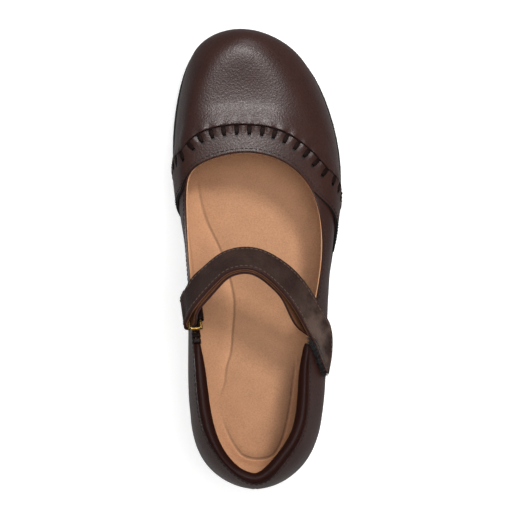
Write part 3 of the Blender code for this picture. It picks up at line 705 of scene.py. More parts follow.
def painted_edge(name, tone):
    """Cut leather closed with edge paint: dark, smooth, half matt."""
    material, shader = new_material(name, tone, 0.5, Specular_IOR_Level=0.4)
    place = add_node(material, "ShaderNodeTexCoord").outputs["Object"]
    ripple = add_node(material, "ShaderNodeTexNoise",
                      {"Vector": place, "Scale": per_size(1.2), "Detail": 2.0})
    bump = add_node(material, "ShaderNodeBump",
                    {"Height": ripple.outputs["Fac"], "Strength": 0.4, "Distance": 0.1 * MM})
    join(material, bump.outputs["Normal"], shader.inputs["Normal"])
    return material


def waxed_thread(name, tone):
    """Twisted polyester thread with wax: fine slanting plies that catch a small light."""
    material, shader = new_material(name, tone, 0.5, Specular_IOR_Level=0.5)
    place = add_node(material, "ShaderNodeTexCoord").outputs["Object"]
    plies = add_node(material, "ShaderNodeTexWave",
                     {"Vector": place, "Scale": per_size(4), "Distortion": 1.5})
    bump = add_node(material, "ShaderNodeBump",
                    {"Height": plies.outputs["Fac"], "Strength": 0.5, "Distance": 0.1 * MM})
    join(material, bump.outputs["Normal"], shader.inputs["Normal"])
    return material


def plated_brass(name, tone):
    """Drawn brass wire, plated and tumbled: warm, bright, with a trace of fine scratches."""
    material, shader = new_material(name, tone, 0.26, Metallic=1.0)
    place = add_node(material, "ShaderNodeTexCoord").outputs["Object"]
    scratches = add_node(material, "ShaderNodeTexNoise",
                         {"Vector": place, "Scale": per_size(0.9), "Detail": 5.0})
    gloss = add_node(material, "ShaderNodeMapRange",
                     {"Value": scratches.outputs["Fac"], "From Min": 0.3, "From Max": 0.7,
                      "To Min": 0.18, "To Max": 0.36})
    join(material, gloss.outputs["Result"], shader.inputs["Roughness"])
    return material


def woven_nylon(name, tone):
    """Knitted nylon fastener tape: black, matt, with a pile too fine to show one by one."""
    material, shader = new_material(name, tone, 0.85, Sheen_Weight=0.15)
    place = add_node(material, "ShaderNodeTexCoord").outputs["Object"]
    pile = add_node(material, "ShaderNodeTexVoronoi",
                    {"Vector": place, "Scale": per_size(0.7)})
    bump = add_node(material, "ShaderNodeBump",
                    {"Height": pile.outputs["Distance"], "Strength": 0.8, "Distance": 0.4 * MM})
    join(material, bump.outputs["Normal"], shader.inputs["Normal"])
    return material


def lit_table(name, tone, roughness, glow):
    """Frosted studio table lit a little from below: smooth, matt, with a faint unevenness."""
    material, shader = new_material(name, tone, roughness, Emission_Strength=glow)
    shader.inputs["Emission Color"].default_value = (1, 1, 1, 1)
    place = add_node(material, "ShaderNodeTexCoord").outputs["Object"]
    drift = add_node(material, "ShaderNodeTexNoise", {"Vector": place, "Scale": per_size(400)})
    tones = add_node(material, "ShaderNodeMix",
                     {"Factor": drift.outputs["Fac"], "A": shade(tone, 0.99),
                      "B": shade(tone, 1.01)}, data_type="RGBA")
    join(material, tones.outputs[2], shader.inputs["Base Color"])
    return material


# Lines that several pieces share, read from the CAD nodes

def band_lines():
    """The band's seam with the vamp and its free edge, as paths on its top."""
    bm = merged_copy("vamp_band")
    tops = sorted(sheets(bm)[:2], key=lambda group: -mean_height(group))
    first, second = split_at_corners(border_loops(tops[0])[0])[:2]
    bm.free()
    seam, edge = (first, second) if mean_along(first) > mean_along(second) else (second, first)
    return [relaxed(spaced(line, PATH_SPACING), EVENING_ROUNDS) for line in (seam, edge)]


def mean_height(faces):
    return sum(face.calc_center_median().z for face in faces) / len(faces)


def mean_along(points):
    return sum(point.y for point in points) / len(points)


def topline():
    """The upper edge of the quarters, all round the opening."""
    bm = merged_copy("upper")
    loops = border_loops(upper_sheets(bm)[0])
    bm.free()
    line = max(loops, key=lambda loop: sum(point.z for point in loop) / len(loop))
    return spaced(line + line[:1], PATH_SPACING)


def upper_sheets(bm):
    """The upper's two wide sheets of faces, the outer one first."""
    def spread(group):
        xs = [vert.co.x for face in group for vert in face.verts]
        return max(xs) - min(xs)
    return sorted(sheets(bm)[:2], key=lambda group: -spread(group))


def swell_at(index, sizes):
    """Nothing at a thong and 1 midway between two, for a place's number along the seam."""
    return 0.5 - 0.5 * math.cos(2 * math.pi * index * PATH_SPACING / sizes.thong_pitch)


# Stitching

def add_stitches(bm, tree, path, inset, sizes, towards=None):
    """A row of stitches on a surface, along a path and set in from it: towards another path,
    or else to the side where the surface goes on."""
    points = spaced(path, sizes.stitch_pitch)
    for here, ahead in zip(points, points[1:]):
        along = (ahead - here).normalized()
        middle = (here + ahead) / 2
        if towards:
            sides = [(towards.find(middle)[0] - middle).normalized()]
        else:
            side = along.cross(on_surface(tree, middle)[1]).normalized()
            sides = [side, -side]
        aims = [middle + inset * side for side in sides]
        aim = min(aims, key=lambda aim: (on_surface(tree, aim)[0] - aim).length)
        place, normal = on_surface(tree, aim)
        along = (along - normal * along.dot(normal)).normalized()
        turn = Matrix((along, along.cross(normal), normal)).transposed().to_4x4()
        size = Matrix.Diagonal((sizes.stitch_length, sizes.thread, sizes.thread, 1))
        spot = Matrix.Translation(place + normal * sizes.thread * STITCH_RISE)
        bmesh.ops.create_icosphere(bm, subdivisions=2, radius=0.5, matrix=spot @ turn @ size)


class SHOE_OT_outer_leather(Operator):
    """Make the vamp and quarters: folded edge, drawn-up seam, back seam and soft creases"""

    bl_idname = "shoe.outer_leather"
    bl_label = "Outer leather"

    def execute(self, context):
        sizes, colours = settings()
        bm = merged_copy("upper")
        keep_faces(bm, upper_sheets(bm)[0])
        bm = subdivided(bm, 2)
        seam, edge = band_lines()
        wall = BVHTree.FromBMesh(bm)
        near_seam = finder([on_surface(wall, point)[0] for point in seam])
        near_edge = finder([on_surface(wall, point)[0] for point in edge])
        for reach in SEAM_REFINING:
            refine_near(bm, near_seam, reach)
        draw_up_seam(bm, near_seam, near_edge, sizes)
        crease_leather(bm)
        sew_back_seam(bm)
        bm = thickened(bm, sizes.leather)
        round_edges(bm, [edge for edge in sharp_edges(bm, RIM_BEND)
                         if min(vert.co.z for vert in edge.verts) > FOLD_HEIGHT],
                    sizes.edge_round)
        leather = waxed_leather("waxed_upper_leather", colours.upper, grain=1.1, depth=0.17,
                                roughness=0.36, wax=0.36)
        finish_piece("outer_leather", bm, [leather], ["upper"])
        return {"FINISHED"}


def draw_up_seam(bm, near_seam, near_edge, sizes):
    """Lift the vamp's edge to the band, with a groove at the seam and a swell between thongs."""
    def height(vert):
        place, index, distance = near_seam.find(vert.co)
        lift = 0
        if distance < sizes.seam_reach and near_edge.find(vert.co)[2] > near_edge.find(place)[2]:
            past_lip = 1 - falloff(distance / LIP_ROUND)
            swell = sizes.pucker * (swell_at(index, sizes) - 0.5) * falloff(distance / SWELL_REACH)
            lift = past_lip * (sizes.seam_lift * falloff(distance / sizes.seam_reach) + swell)
        return lift - sizes.seam_groove * falloff(distance / GROOVE_WIDTH)

    raise_surface(bm, height)


def crease_leather(bm):
    """Soft troughs and ridges at the places in the table, and a faint overall unevenness."""
    troughs = []
    for crease in CREASES:
        places = [Vector(place) * MM for place in (crease.start, crease.bend, crease.end)]
        points = curve_through(places, CREASE_STEPS)
        troughs.append((crease.depth * MM, crease.width * MM, finder(points), len(points)))

    def height(vert):
        lift = LEATHER_DRIFT.height * noise.noise(vert.co / LEATHER_DRIFT.reach)
        for depth, width, tree, count in troughs:
            _, index, distance = tree.find(vert.co)
            if distance < width * 2:
                ends = along_path(index, count, 0.7)
                lift -= depth * ends * math.exp(-(distance / width) ** 2 * 2)
        return lift

    raise_surface(bm, height)


def sew_back_seam(bm):
    """The two quarters meet in a shallow groove down the heel."""
    def on_heel(vert):
        return vert.co.y < HEEL_START and abs(vert.co.x) < BACK_SEAM_REACH

    middle = min(filter(on_heel, bm.verts), key=lambda vert: vert.co.y).co.x

    def height(vert):
        if not on_heel(vert):
            return 0
        distance = abs(vert.co.x - middle)
        return (BACK_SWELL.height * falloff(distance / BACK_SWELL.reach)
                - BACK_GROOVE.height * falloff(distance / BACK_GROOVE.reach))

    raise_surface(bm, height)


class SHOE_OT_lining(Operator):
    """Make the tan lining inside the quarters and the vamp"""

    bl_idname = "shoe.lining"
    bl_label = "Lining"

    def execute(self, context):
        sizes, colours = settings()
        bm = merged_copy("upper")
        keep_faces(bm, upper_sheets(bm)[1])
        bm = thickened(subdivided(bm, 2), sizes.lining)
        round_edges(bm, sharp_edges(bm, RIM_BEND), LINING_ROUND, 1)
        tan = brushed_suede("tan_pigskin_lining", colours.lining, nap=0.7)
        finish_piece("lining", bm, [tan])
        return {"FINISHED"}


class SHOE_OT_throat_band(Operator):
    """Make the raised band, the holes punched in it and the thongs that whip it to the vamp"""

    bl_idname = "shoe.throat_band"
    bl_label = "Throat band"

    def execute(self, context):
        sizes, colours = settings()
        seam, edge = band_lines()
        near_seam = finder(seam)
        near_edge = finder(edge)
        bm = merged_copy("vamp_band")
        for group in sheets(bm)[2:]:
            for face in group:
                middle = face.calc_center_median()
                at_throat = near_edge.find(middle)[2] < near_seam.find(middle)[2]
                # Edge faces at the throat's front take the reddish rim; all others take the
                # near-black band edge, which along the seam's groove is painted shade
                face.material_index = 2 if at_throat and in_front(middle) else 3
        round_edges(bm, sharp_edges(bm, SHEET_BEND), BAND_ROUND, 1)
        bm = subdivided(bm, 2)
        refine_near(bm, near_seam, BAND_REFINING)
        pucker_band(bm, near_seam, sizes)
        tree = BVHTree.FromBMesh(bm)
        spots = thong_spots(seam, near_edge, tree, sizes)
        holes = bmesh.new()
        for place, _, inwards in spots:
            add_hole(holes, tree, place, inwards, sizes)
        band = finish_piece("throat_band", bm, [
            waxed_leather("waxed_band_leather", colours.band, grain=1.1, depth=0.17,
                          roughness=0.38, wax=0.34),
            # The holes' walls are near-black, painted shade of the holes' depth
            painted_edge("hole_wall_painted_shade", colours.punched),
            painted_edge("rolled_band_edge", colours.rim),
            # Near-black edge ink on the band's other edges, and painted shade of the groove where
            # they face the seam
            painted_edge("band_edge_ink_and_painted_shade", colours.punched),
        ], ["vamp_band"])
        punch(band, holes)
        thongs = bmesh.new()
        blank = thong_blank(sizes)
        for place, along, inwards in spots:
            add_thong(thongs, blank, tree, place, along, inwards, sizes)
            add_tuck(thongs, tree, place, along, sizes)
        bpy.data.meshes.remove(blank)
        lace = waxed_leather("oiled_lace_leather", colours.thong, grain=0.9, depth=0.1,
                             roughness=0.55, wax=0.08)
        finish_piece("whip_thongs", thongs, [lace])
        return {"FINISHED"}


def in_front(place):
    """Whether a place is round the front of the throat, where its rolled edge shows."""
    return place.y > THROAT_SIDES and place.x > THROAT_INNER


def pucker_band(bm, near_seam, sizes):
    """Press the band's top under each thong and let it swell between two of them."""
    def height(vert):
        _, index, distance = near_seam.find(vert.co)
        if vert.normal.z <= BAND_UNDERSIDE:
            return 0
        swell = BAND_SWELL * sizes.pucker * (swell_at(index, sizes) - BAND_PRESS)
        return swell * falloff(distance / BAND_SWELL_REACH)

    raise_surface(bm, height)


def thong_spots(seam, near_edge, tree, sizes):
    """Place of each thong on the seam, the seam's direction there and the way to its hole."""
    step = sizes.thong_pitch / PATH_SPACING
    spots = []
    count = int((len(seam) - 1) / step)
    for k in range(1, count + 1):
        i = round(k * step)
        if i + 2 >= len(seam):
            break
        place = seam[i]
        along = (seam[i + 2] - seam[i - 2]).normalized()
        across, _, width = near_edge.find(place)
        _, normal = on_surface(tree, place.lerp(across, THONG_SLOPE_AT))
        inwards = along.cross(normal).normalized()
        if inwards.dot(across - place) < 0:
            inwards.negate()
        if width > sizes.thong_reach + THONG_MARGIN:
            spots.append((place, along, inwards))
    return spots


def add_hole(bm, tree, place, inwards, sizes):
    """The cutter of one punched hole, upright in the band just past its thong's end."""
    spot, normal = on_surface(tree, place + inwards * (sizes.thong_reach + HOLE_GAP))
    turn = normal.to_track_quat("Z", "Y").to_matrix().to_4x4()
    bmesh.ops.create_cone(bm, cap_ends=True, segments=14, radius1=sizes.hole_width / 2,
                          radius2=sizes.hole_width / 2, depth=HOLE_DEPTH,
                          matrix=Matrix.Translation(spot) @ turn)


def punch(piece, holes):
    """Cut the holes, whose walls take the piece's second material."""
    for face in holes.faces:
        face.material_index = 1
    mesh = mesh_of(holes, "holes")
    for material in piece.data.materials:
        mesh.materials.append(material)
    cutter = new_object("holes", mesh)
    cut = piece.modifiers.new("holes", "BOOLEAN")
    cut.operation = "DIFFERENCE"
    cut.solver = "EXACT"
    cut.object = cutter
    graph = bpy.context.evaluated_depsgraph_get()
    done = bpy.data.meshes.new_from_object(piece.evaluated_get(graph), depsgraph=graph)
    piece.modifiers.clear()
    piece.data = done
    bpy.data.objects.remove(cutter)


def thong_blank(sizes):
    """A straight thong with rounded edges, its length along Y from 0 to 1."""
    bm = bmesh.new()
    bmesh.ops.create_cube(bm, size=1, matrix=Matrix.Diagonal(
        (sizes.thong_width, sizes.thong_reach, sizes.thong_thickness, 1)))
    long_edges = [edge for edge in bm.edges
                  if abs(edge.verts[0].co.y - edge.verts[1].co.y) > sizes.thong_reach / 2]
    bmesh.ops.subdivide_edges(bm, edges=long_edges, cuts=11)
    round_edges(bm, sharp_edges(bm, CORNER_BEND), THONG_ROUND)
    bmesh.ops.translate(bm, verts=bm.verts, vec=(0, sizes.thong_reach / 2, 0))
    bmesh.ops.scale(bm, verts=bm.verts, vec=(1, 1 / sizes.thong_reach, 1))
    return mesh_of(bm, "thong_blank")


def add_tuck(bm, tree, place, along, sizes):
    """The dark bunch of lace where a thong comes up out of the seam."""
    spot, normal = on_surface(tree, place)
    turn = Matrix((along, along.cross(normal), normal)).transposed().to_4x4()
    size = Matrix.Diagonal((sizes.thong_width * TUCK_WIDENING, TUCK_LENGTH, TUCK_HEIGHT, 1))
    middle = Matrix.Translation(spot + normal * TUCK_LIFT)
    bmesh.ops.create_icosphere(bm, subdivisions=2, radius=0.5, matrix=middle @ turn @ size)


def add_thong(bm, blank, tree, place, along, inwards, sizes):
    """One flat thong from the seam's groove, over the band's edge and down its hole."""
    first = len(bm.verts)
    bm.from_mesh(blank)
    bm.verts.ensure_lookup_table()
    length = sizes.thong_reach + THONG_OVERRUN - THONG_START
    for vert in bm.verts[first:]:
        share = min(max(vert.co.y, 0), 1)
        reach = THONG_START + length * share
        spot, normal = on_surface(tree, place + inwards * max(reach, 0))
        spot = spot + inwards * min(reach, 0)
        arch = math.sin(math.pi * share) ** THONG_ARCH
        height = -THONG_SINK + arch * (THONG_SINK + sizes.thong_thickness * THONG_RISE)
        width = THONG_END_WIDTH + (1 - THONG_END_WIDTH) * math.sin(math.pi * share)
        vert.co = spot + along * vert.co.x * width + normal * (height + vert.co.z)


class SHOE_OT_collar(Operator):
    """Make the padded collar round the heel"""

    bl_idname = "shoe.collar"
    bl_label = "Collar"

    def execute(self, context):
        sizes, colours = settings()
        bm = subdivided(merged_copy("collar"), 2)
        near_topline = finder(topline())
        heelward = (INNER_HEEL - HEEL_MIDDLE).normalized()
        bm.normal_update()
        for vert, normal in [(vert, vert.normal.copy()) for vert in bm.verts]:
            place = Vector([c / spacing for c, spacing in zip(vert.co, WRINKLE_SPACING)]) / MM
            vert.co += normal * COLLAR_WRINKLE * noise.noise(place)
            distance = near_topline.find(vert.co)[2]
            vert.co -= normal * sizes.collar_groove * falloff(distance / COLLAR_TUCK_REACH)
            near_heel = falloff((vert.co.xy - INNER_HEEL).length / COLLAR_THINNING.reach)
            thinned = near_heel * min(distance / COLLAR_EDGE, 1)
            vert.co.xy += COLLAR_THINNING.height * thinned * heelward
        soft = waxed_leather("soft_collar_leather", colours.collar, grain=0.9, depth=0.1,
                             roughness=0.42, wax=0.07)
        collar = finish_piece("padded_collar", bm, [soft], ["collar"])
        return {"FINISHED"}


class SHOE_OT_strap(Operator):
    """Make the strap, grained leather outside and smooth leather inside, with painted edges"""

    bl_idname = "shoe.strap"
    bl_label = "Strap"

    def execute(self, context):
        _, colours = settings()
        bm = merged_copy("strap")
        groups = sheets(bm)
        for face in groups[1]:
            face.material_index = 1
        for group in groups[2:]:
            for face in group:
                face.material_index = 2
        round_edges(bm, sharp_edges(bm, SHEET_BEND), STRAP_ROUND, 1)
        bm = subdivided(bm, 2)
        rub = bm.verts.layers.float.new("rub")
        low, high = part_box("hook_tape")
        middle = (Vector(low) + Vector(high)) / 2
        for vert in bm.verts:
            near = falloff((vert.co - middle).length / RUB_REACH)
            vert[rub] = RUB_LEAST + (1 - RUB_LEAST) * near
        finish_piece("strap_leather", bm, [
            waxed_leather("grained_strap_leather", colours.strap, grain=1.4, depth=0.24,
                          roughness=0.44, mottle=0.36, wax=0.22, rubbed=colours.scuff),
            waxed_leather("strap_backing", colours.backing, grain=0.9, depth=0.1, roughness=0.55),
            painted_edge("painted_strap_edge", colours.edge),
        ], ["strap"])
        return {"FINISHED"}


class SHOE_OT_ring(Operator):
    """Make the wire ring, the leather keeper that holds it and the turns of the keeper's lace"""

    bl_idname = "shoe.ring"
    bl_label = "Ring and keeper"

    def execute(self, context):
        _, colours = settings()
        bm = subdivided(merged_copy("ring"), 2)
        brass = plated_brass("plated_brass_wire", colours.brass)
        finish_piece("wire_ring", bm, [brass], ["ring"])
        bm = merged_copy("ring_tab")
        round_edges(bm, sharp_edges(bm, CORNER_BEND), KEEPER_ROUND, 1)
        bm = subdivided(bm, 2)
        leather = waxed_leather("keeper_leather", colours.thong, grain=0.9, depth=0.12,
                                roughness=0.52, wax=0.14)
        finish_piece("ring_keeper", bm, [leather], ["ring_tab"])
        wraps = bmesh.new()
        line = topline()
        for along in KEEPER_WRAPS:
            add_wrap(wraps, line, along * MM)
        finish_piece("keeper_wraps", wraps, [leather])
        return {"FINISHED"}


def add_wrap(bm, line, along):
    """One turn of the keeper's lace round the inner topline, at a place along the shoe."""
    inner = [i for i in range(2, len(line) - 2) if line[i].x < 0]
    here = min(inner, key=lambda i: abs(line[i].y - along))
    way = (line[here + 2] - line[here - 2]).normalized()
    side = way.cross(Vector((0, 0, 1))).normalized()
    turn = Matrix((side, way, side.cross(way))).transposed().to_4x4()
    out = side if side.x < 0 else -side
    ring = bmesh.new()
    bmesh.ops.create_cube(ring, size=1, matrix=Matrix.Diagonal((*WRAP_SIZE, 1)))
    round_edges(ring, ring.edges[:], WRAP_ROUND, 3)
    spot = Matrix.Translation(line[here] - out * WRAP_INSET - Vector((0, 0, WRAP_DROP)))
    bmesh.ops.transform(ring, matrix=spot @ turn, verts=ring.verts)
    mesh = mesh_of(ring, "wrap")
    bm.from_mesh(mesh)
    bpy.data.meshes.remove(mesh)


class SHOE_OT_fastener(Operator):
    """Make the hook and loop tapes and the loose fibres along their edge"""

    bl_idname = "shoe.fastener"
    bl_label = "Fastener"

    def execute(self, context):
        sizes, colours = settings()
        nylon = woven_nylon("knitted_nylon_tape", colours.tape)
        for node, name in (("hook_tape", "hook_pad"), ("loop_tape", "loop_pad")):
            bm = merged_copy(node)
            round_edges(bm, sharp_edges(bm, CORNER_BEND), TAPE_ROUND, 1)
            finish_piece(name, subdivided(bm, 2), [nylon], [node])
        fuzz = bmesh.new()
        tape, strap = merged_copy("hook_tape"), merged_copy("strap")
        add_fibres(fuzz, border_loops(sheets(strap)[0])[0], tape, sizes)
        tape.free()
        strap.free()
        finish_piece("tape_fibres", fuzz, [nylon])
        return {"FINISHED"}


def add_fibres(bm, loop, tape, sizes):
    """Loose fibres of the tape that stand out under the strap's edge, each its own way."""
    chance = random.Random(FIBRE_SEED)
    near_tape = BVHTree.FromBMesh(tape)
    middle = sum((vert.co for vert in tape.verts), Vector()) / len(tape.verts)
    points = spaced(loop + loop[:1], PATH_SPACING)
    path = []
    for here, ahead in zip(points, points[4:]):
        out = (ahead - here).cross(Vector((0, 0, 1))).normalized()
        out = out if out.dot(here - middle) > 0 else -out
        beside_tape = near_tape.find_nearest(here)[3] < FIBRE_SPREAD
        if beside_tape and out.x < 0 and here.y < middle.y + FIBRE_START:
            path.append((here, out))
    for _ in range(sizes.fibres):
        root, out = chance.choice(path)
        lean = Vector([chance.uniform(-1, 1) for _ in range(3)])
        way = (out + FIBRE_LEAN * lean).normalized()
        reach = sizes.fibre * chance.uniform(FIBRE_SHORTEST, 1)
        root = root - out * chance.uniform(0, FIBRE_ROOT)
        root.z -= chance.uniform(*FIBRE_DROP)
        turn = way.to_track_quat("Z", "Y").to_matrix().to_4x4()
        spot = Matrix.Translation(root + way * (reach / 2 - FIBRE_OVERLAP))
        bmesh.ops.create_cone(bm, cap_ends=True, segments=3, radius1=FIBRE_RADII[0],
                              radius2=FIBRE_RADII[1], depth=reach, matrix=spot @ turn)


class SHOE_OT_footbed(Operator):
    """Make the suede footbed with its cupped edge and its embossed lines"""

    bl_idname = "shoe.footbed"
    bl_label = "Footbed"

    def execute(self, context):
        sizes, colours = settings()
        bm = merged_copy("insole")
        bm.normal_update()
        keep_faces(bm, [face for face in bm.faces if face.normal.z > FACING_DOWN])
        round_edges(bm, sharp_edges(bm, FOOTBED_BEND), FOOTBED_ROUND, 1)
        bm = subdivided(bm, 2)
        # Painted light and shade of the pressed lines, read by the suede's colour
        painted_shading = bm.verts.layers.float.new("painted_shading")
        for pressed in PRESSED_LINES:
            emboss(bm, painted_shading, pressed, sizes)
        for vert in bm.verts:
            if vert.normal.z > FACING_UP:
                vert.co.z += FOOTBED_DRIFT.height * noise.noise(vert.co / FOOTBED_DRIFT.reach)
        bm = thickened(bm, FOOTBED_COVER)
        suede = brushed_suede("tan_suede_footbed", colours.footbed, nap=0.9, with_painted_shading=True)
        finish_piece("footbed", bm, [suede], ["insole"])
        return {"FINISHED"}


def plan_path(table):
    """Smooth path at the floor's height through a table's places."""
    places = [Vector((point.across, point.along, 0)) * MM for point in table]
    return spaced(curve_through(places), PATH_SPACING)


def emboss(bm, painted_shading, pressed, sizes):
    """Press a groove along a line and raise the footbed on its right-hand side. The painted shading
    layer is positive on the raised side, a painted highlight, and negative in the groove and on
    the lower side, painted shade."""
    line = plan_path(pressed.places)
    surface = BVHTree.FromBMesh(bm)
    up = Vector((0, 0, 1))
    lifted = [surface.ray_cast(point + up, -up)[0] or point for point in line]
    for width in LINE_REFINING:
        refine_near(bm, finder(lifted), width)
    bm.normal_update()
    flat = finder(line)
    for vert in bm.verts:
        if vert.normal.z < FACING_UP:
            continue
        place = Vector((vert.co.x, vert.co.y, 0))
        spot, index, distance = flat.find(place)
        ahead = line[min(index + 2, len(line) - 1)] - line[max(index - 2, 0)]
        side = ahead.x * (place.y - spot.y) - ahead.y * (place.x - spot.x)
        ends = along_path(index, len(line), 0.4)
        raised = falloff(distance / pressed.reach)
        if side >= 0:
            raised *= falloff(distance / STEP_WIDTH)
        groove = falloff(distance / LINE_WIDTH)
        vert.co.z += ends * (sizes.footbed_step * pressed.rise * raised - pressed.depth * groove)
        # Painted shade on the lower side near the line and in the groove, painted highlight on the
        # raised side
        low = pressed.grime * falloff(distance / PAINTED_SHADE_REACH) if side > 0 else 0
        vert[painted_shading] += ends * (RAISED_PAINTED_LIGHT * raised - GROOVE_PAINTED_SHADE * groove - low)


class SHOE_OT_outsole(Operator):
    """Make the rubber sole with softened moulded edges"""

    bl_idname = "shoe.outsole"
    bl_label = "Outsole"

    def execute(self, context):
        _, colours = settings()
        bm = bmesh.new()
        bm.from_mesh(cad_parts["outsole"].data)
        bmesh.ops.remove_doubles(bm, verts=bm.verts, dist=MERGE_DISTANCE)
        bmesh.ops.join_triangles(bm, faces=bm.faces, angle_face_threshold=FLAT_BEND,
                                 angle_shape_threshold=ANY_SKEW)
        round_edges(bm, sharp_edges(bm, SHEET_BEND), SOLE_ROUND, 1)
        rubber = moulded_rubber("moulded_sole_rubber", colours.rubber)
        sole = finish_piece("sole_unit", bm, [rubber], ["outsole"])
        sole.data.set_sharp_from_angle(angle=SHADING_BEND)
        return {"FINISHED"}


class SHOE_OT_stitching(Operator):
    """Sew the rows of stitches along the throat, the strap and the topline"""

    bl_idname = "shoe.stitching"
    bl_label = "Stitching"

    def execute(self, context):
        sizes, colours = settings()
        thread = waxed_thread("waxed_brown_thread", colours.thread)
        pale = waxed_thread("waxed_pale_thread", colours.strap_thread)
        finish_piece("throat_stitches", throat_rows(sizes), [thread])
        finish_piece("strap_stitches", strap_rows(sizes), [pale])
        finish_piece("topline_stitches", topline_rows(sizes), [thread])
        return {"FINISHED"}


def surface_of(bm):
    """A search tree of a bmesh's faces, which is then freed."""
    tree = BVHTree.FromBMesh(bm)
    bm.free()
    return tree


def finished_surface(name):
    """A search tree of a finished piece's faces."""
    bm = bmesh.new()
    bm.from_mesh(bpy.data.objects[name].data)
    return surface_of(bm)


def throat_rows(sizes):
    """One row on the band, along the throat."""
    rows = bmesh.new()
    seam, edge = band_lines()
    add_stitches(rows, finished_surface("throat_band"), edge, sizes.stitch_inset, sizes,
                 finder(seam))
    return rows


def strap_rows(sizes):
    """A row along each long edge of the strap's outer face."""
    rows = bmesh.new()
    strap = merged_copy("strap")
    edges = split_at_corners(border_loops(sheets(strap)[0])[0])[:2]
    strap.free()
    tree = finished_surface("strap_leather")
    for line, other in (edges, edges[::-1]):
        add_stitches(rows, tree, line, sizes.stitch_inset, sizes, finder(other))
    return rows


def topline_rows(sizes):
    """A row below the quarters' topline, wherever it lies open."""
    rows = bmesh.new()
    upper = merged_copy("upper")
    wall = surface_of(subdivided(keep_faces(upper, upper_sheets(upper)[0]), 2))
    covers = [surface_of(merged_copy(node))
              for node in ("strap", "vamp_band", "ring_tab", "loop_tape")]
    for run in uncovered(topline(), covers, COVER_REACH):
        add_stitches(rows, wall, run, sizes.stitch_inset, sizes)
    return rows


def uncovered(path, covers, reach):
    """The runs of a path that no other piece lies over."""
    runs = [[]]
    for point in path:
        if any(tree.find_nearest(point, reach)[0] for tree in covers):
            if runs[-1]:
                runs.append([])
        else:
            runs[-1].append(point)
    return [run for run in runs if len(run) > SHORTEST_ROW / PATH_SPACING]


# Studio lights, with their places and widths in metres. Some only light the matt tones, and one
# only shines in the gloss
Softbox = namedtuple("Softbox", "name place width watts lights shines")
SOFTBOXES = [
    Softbox("top_softbox", (0.35, 0.05, 1.8), 1.1, 17, True, False),
    Softbox("key_softbox", (0.6, 0.85, 1.25), 0.3, 16, True, False),
    Softbox("gloss_softbox", (0.03, 0.85, 1.6), 0.45, 19, False, True),
    Softbox("toe_softbox", (0.3, 1.4, 0.9), 0.5, 4, True, True),
    Softbox("heel_softbox", (-0.5, -1.3, 1.0), 0.7, 3, True, True),
    Softbox("fill_softbox", (-1.0, 0.2, 1.5), 0.9, 4, True, False),
]
LIGHTS_AIM = Vector((0, 0, 0.05))
FLOOR_RADIUS = 9
FLOOR_GLOW = 0.62
ROOM_LIGHT = 0.3


class SHOE_OT_stage(Operator):
    """Lay the pale floor and set the soft studio lights and the camera overhead"""

    bl_idname = "shoe.stage"
    bl_label = "Stage"

    def execute(self, context):
        _, colours = settings()
        bm = bmesh.new()
        bmesh.ops.create_circle(bm, cap_ends=True, segments=64, radius=FLOOR_RADIUS)
        mesh = mesh_of(bm, "studio_floor")
        floor = new_object("studio_floor", mesh)
        mesh.materials.append(lit_table("frosted_studio_table", colours.floor, roughness=0.7,
                                        glow=FLOOR_GLOW))
        floor.visible_glossy = False
        world = bpy.data.worlds.new("studio")
        world.use_nodes = True
        world.node_tree.nodes["Background"].inputs["Color"].default_value = (1, 1, 1, 1)
        world.node_tree.nodes["Background"].inputs["Strength"].default_value = ROOM_LIGHT
        bpy.context.scene.world = world
        bpy.context.scene.view_settings.view_transform = "Standard"
        for box in SOFTBOXES:
            add_softbox(box)
        add_camera()
        return {"FINISHED"}


def add_softbox(box):
    """A square light aimed at the shoe."""
    light = bpy.data.lights.new(box.name, "AREA")
    light.shape = "SQUARE"
    light.size = box.width
    light.energy = box.watts
    item = new_object(box.name, light)
    item.location = box.place
    item.visible_diffuse = box.lights
    item.visible_glossy = box.shines
    item.rotation_euler = (LIGHTS_AIM - Vector(box.place)).to_track_quat("-Z", "Y").to_euler()


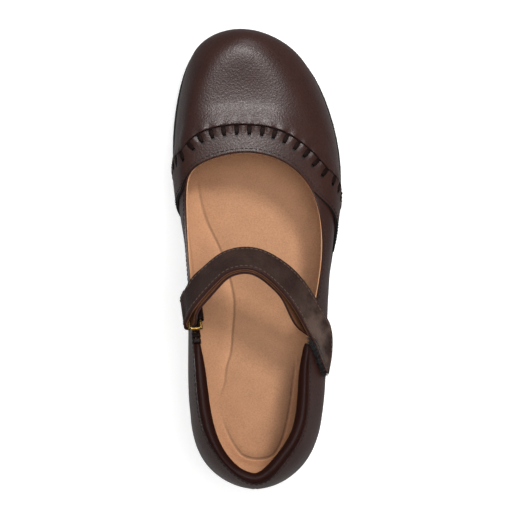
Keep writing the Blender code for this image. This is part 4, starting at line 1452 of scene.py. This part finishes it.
# The photograph's frame: millimetres to one of its pixels, and the shoe's middle in it
PHOTO_WIDTH = 512
MILLIMETRES_PER_PIXEL = 0.5745
SHOE_MIDDLE_PIXEL = (256.7, 258.3)
CAMERA_HEIGHT = 4.0
MEASURED_HEIGHT = 0.045


def add_camera():
    """A long lens straight above, with the toe at the top of the picture."""
    camera = bpy.data.cameras.new("overhead_camera")
    shown = PHOTO_WIDTH * MILLIMETRES_PER_PIXEL * MM
    camera.lens = camera.sensor_width * (CAMERA_HEIGHT - MEASURED_HEIGHT) / shown
    camera.clip_end = 50
    item = new_object("overhead_camera", camera)
    offset_x = (PHOTO_WIDTH / 2 - SHOE_MIDDLE_PIXEL[0]) * MILLIMETRES_PER_PIXEL * MM
    offset_y = (SHOE_MIDDLE_PIXEL[1] - PHOTO_WIDTH / 2) * MILLIMETRES_PER_PIXEL * MM
    item.location = (offset_x, offset_y, CAMERA_HEIGHT)
    bpy.context.scene.camera = item


OPERATORS = [
    SHOE_OT_outsole,
    SHOE_OT_footbed,
    SHOE_OT_outer_leather,
    SHOE_OT_lining,
    SHOE_OT_throat_band,
    SHOE_OT_collar,
    SHOE_OT_strap,
    SHOE_OT_ring,
    SHOE_OT_fastener,
    SHOE_OT_stitching,
    SHOE_OT_stage,
]


class VIEW3D_PT_shoe(Panel):
    """Sizes, colours and pieces of the shoe"""

    bl_label = "Mary jane shoe"
    bl_space_type = "VIEW_3D"
    bl_region_type = "UI"
    bl_category = "Shoe"

    def draw(self, context):
        layout = self.layout
        for group in settings():
            for name in group.__annotations__:
                layout.prop(group, name)
        for operator in OPERATORS:
            layout.operator(operator.bl_idname)


CLASSES = [ShoeSizes, ShoeColours, *OPERATORS, VIEW3D_PT_shoe]


def register():
    for item in CLASSES:
        bpy.utils.register_class(item)
    bpy.types.Scene.shoe_sizes = PointerProperty(type=ShoeSizes)
    bpy.types.Scene.shoe_colours = PointerProperty(type=ShoeColours)


def unregister():
    del bpy.types.Scene.shoe_colours
    del bpy.types.Scene.shoe_sizes
    for item in reversed(CLASSES):
        bpy.utils.unregister_class(item)


def main():
    register()
    for operator in OPERATORS:
        group, name = operator.bl_idname.split(".")
        getattr(getattr(bpy.ops, group), name)()


if __name__ == "__main__":
    main()
